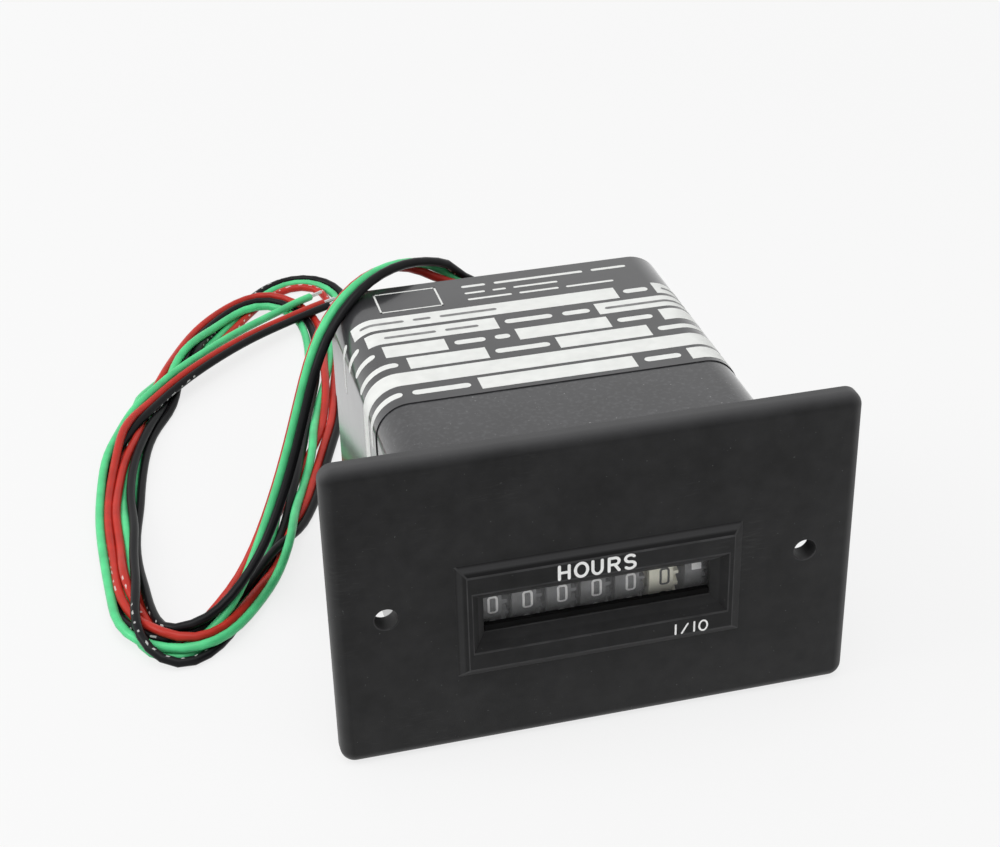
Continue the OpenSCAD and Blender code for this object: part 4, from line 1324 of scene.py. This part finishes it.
class METER_OT_case(bpy.types.Operator):
    """Dresses the case, rear cover and grommet and gives the cover its screw heads"""

    bl_idname = "meter.case"
    bl_label = "Case and Rear Cover"

    def execute(self, context):
        for node, slot in (("case_shell", "case_plastic"), ("rear_cover", "case_plastic"),
                           ("cable_grommet", "soft_rubber")):
            dressed_copy(node, slot, rounding=sizes().edge_round)
        self.screws()
        return {"FINISHED"}

    def screws(self):
        """Screw heads on the cover, each turned a little further than the last by Geometry Nodes."""
        low, high = (Vector(v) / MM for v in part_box("cover_screws"))
        spots = []
        for x in (low.x + SCREW_HEAD_R, high.x - SCREW_HEAD_R):
            spots += [(x, CASE_D, z) for z in (low.z + SCREW_HEAD_R, high.z - SCREW_HEAD_R)]
        head = screw_head()
        inputs = (("Head", "NodeSocketObject", None), ("Turn", "NodeSocketFloat", 0.0))
        tree = NodeTree("cover_screws", inputs, finish("steel"))
        info = tree.node("GeometryNodeObjectInfo")
        tree.link(tree.given("Head"), info.inputs["Object"])
        turn = tree.node("ShaderNodeCombineXYZ")
        turn.inputs["X"].default_value = -math.pi / 2
        tree.link(tree.product(tree.index(), tree.given("Turn")), turn.inputs["Y"])
        tree.scatter(tree.given("Geometry"), info.outputs["Geometry"], turn.outputs[0])
        obj = points_object("cover_screw_heads", spots)
        tree.bake(obj, {"Head": head, "Turn": SCREW_TURN})
        bpy.data.objects.remove(head)
        place(obj, HOUSING, "steel", replaced=("cover_screws",))


class METER_OT_label(bpy.types.Operator):
    """Prints the label's white fields and plain bars"""

    bl_idname = "meter.label"
    bl_label = "Label"

    def execute(self, context):
        lift = sizes().print_lift / MM
        dressed_copy("data_label", "label_film")
        verts, faces = [], []
        put = label_mapper(lift)
        for y0, y1, fields, captions in LABEL_ROWS:
            for s0, s1 in fields:
                patch(s0, s1, y0, y1, verts, faces, put)
            bars(captions, (y0 + y1) / 2, CAPTION_H, verts, faces, put)
        for ends, y, height in NOTE_LINES:
            bars(ends, y, height, verts, faces, put)
        s0, s1, y0, y1 = OUTLINE_BOX
        for front, rear in ((y0, y0 + BOX_LINE), (y1 - BOX_LINE, y1)):
            patch(s0, s1, front, rear, verts, faces, put)
        for left, right in ((s0, s0 + BOX_LINE), (s1 - BOX_LINE, s1)):
            patch(left, right, y0, y1, verts, faces, put)
        place(mesh_piece("label_fields", verts, faces, smooth=True), HOUSING, "label_film", "print_white")
        verts, faces = [], []
        put = label_mapper(2 * lift)
        for ends, y, height in ENTRIES:
            bars(ends, y, height, verts, faces, put)
        place(mesh_piece("label_entries", verts, faces, smooth=True), HOUSING, "label_film", "typed_grey")
        return {"FINISHED"}


# Figures round a wheel
FIGURES = 10
# Marks on the running indicator, in millimetres: width and height, distance of their left edge from the
# indicator's right end, and height of the first mark's middle above the wheel axis, along the rim
RUN_MARK_W = 1.45
RUN_MARK_H = 1.6
RUN_MARK_INSET = 3.13
RUN_MARK_RISE = 1.25
RUN_MARKS = 3
RUN_MARK_PARTS = 6


class METER_OT_wheels(bpy.types.Operator):
    """Dresses the number wheels and prints their figures and the running marks"""

    bl_idname = "meter.wheels"
    bl_label = "Number Wheels"

    def execute(self, context):
        s = sizes()
        lift = s.print_lift / MM
        w, h, stroke = s.figure_w / MM, s.figure_h / MM, s.figure_stroke / MM
        for i, wheel in enumerate(WHEELS):
            ground, ink, ink_finish = "wheel_black", "wheel_cream", "figure_white"
            if wheel == "tenths":
                ground, ink, ink_finish = "wheel_cream", "wheel_black", "figure_black"
            dressed_copy("wheel_" + wheel, ground, wheel)
            x = FIRST_FIGURE_X + i * WHEEL_PITCH - w / 2
            verts, faces = [], []
            for figure in range(FIGURES):
                put = wheel_mapper(-math.radians(360 * figure / FIGURES), lift)
                character(str(figure), x, FIGURE_RISE - h / 2, w, h, stroke, verts, faces, put)
            place(mesh_piece("figures_" + wheel, verts, faces), wheel, ink, ink_finish)
        dressed_copy("run_indicator", "wheel_black", "indicator")
        self.marks(lift)
        return {"FINISHED"}

    def marks(self, lift):
        """Pale square marks round the running indicator, turned about the wheel axis by Geometry Nodes."""
        put = wheel_mapper(0.0, lift)
        x = (Vector(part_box("run_indicator")[1]) / MM).x - RUN_MARK_INSET
        axis = (0.0, WHEEL_Y, WHEEL_Z)
        verts = []
        for i in range(RUN_MARK_PARTS + 1):
            b = RUN_MARK_H * (i / RUN_MARK_PARTS - 0.5) + RUN_MARK_RISE
            verts += [tuple(np.subtract(put(edge, b, 0.0), axis)) for edge in (x, x + RUN_MARK_W)]
        faces = [(2 * i, 2 * i + 1, 2 * i + 3, 2 * i + 2) for i in range(RUN_MARK_PARTS)]
        obj = mesh_piece("running_marks", verts, faces)
        tree = NodeTree("running_marks", (("Marks", "NodeSocketInt", RUN_MARKS),), finish("letter_white"))
        line = tree.node("GeometryNodeMeshLine")
        tree.link(tree.given("Marks"), line.inputs["Count"])
        line.inputs["Offset"].default_value = (0, 0, 0)
        step = tree.math("DIVIDE", 2 * math.pi, tree.given("Marks"))
        turn = tree.node("ShaderNodeCombineXYZ")
        tree.link(tree.product(tree.index(), step), turn.inputs["X"])
        tree.scatter(line.outputs["Mesh"], tree.given("Geometry"), turn.outputs[0])
        tree.bake(obj, {"Marks": RUN_MARKS})
        obj.data.transform(Matrix.Translation(Vector(axis) * MM))
        place(obj, "indicator", "wheel_cream")


class METER_OT_insides(bpy.types.Operator):
    """Gives every solid the finish of its slot"""

    bl_idname = "meter.insides"
    bl_label = "Counter, Drive and Electronics"

    def execute(self, context):
        slots = {row["node"]: row["material_slot"] for row in frame["record"]["subparts"]}
        for node, obj in frame["nodes"].items():
            obj.data.materials.clear()
            obj.data.materials.append(finish(slots[node]))
        return {"FINISHED"}


class METER_PT_panel(bpy.types.Panel):
    """Lists the hour meter's pieces, sizes and colours"""

    bl_idname = "METER_PT_panel"
    bl_label = "Hour Meter"
    bl_space_type = "VIEW_3D"
    bl_region_type = "UI"
    bl_category = "Hour Meter"

    def draw(self, context):
        layout = self.layout
        for operator in OPERATORS:
            layout.operator(operator.bl_idname)
        for group in (context.scene.meter_sizes, context.scene.meter_colours):
            box = layout.box()
            for name in group.bl_rna.properties.keys():
                if name not in ("rna_type", "name"):
                    box.prop(group, name)


OPERATORS = (METER_OT_stage, METER_OT_leads, METER_OT_insides, METER_OT_bezel, METER_OT_case,
             METER_OT_label, METER_OT_wheels)
CLASSES = (MeterSizes, MeterColours, *OPERATORS, METER_PT_panel)


def register():
    for cls in CLASSES:
        bpy.utils.register_class(cls)
    bpy.types.Scene.meter_sizes = PointerProperty(type=MeterSizes)
    bpy.types.Scene.meter_colours = PointerProperty(type=MeterColours)


def unregister():
    del bpy.types.Scene.meter_sizes
    del bpy.types.Scene.meter_colours
    for cls in reversed(CLASSES):
        bpy.utils.unregister_class(cls)


def main():
    register()
    bpy.ops.meter.stage()
    bpy.ops.meter.leads()
    bpy.ops.meter.insides()
    bpy.ops.meter.bezel()
    bpy.ops.meter.case()
    bpy.ops.meter.label()
    bpy.ops.meter.wheels()
    bpy.context.view_layer.update()


if __name__ == "__main__":
    main()
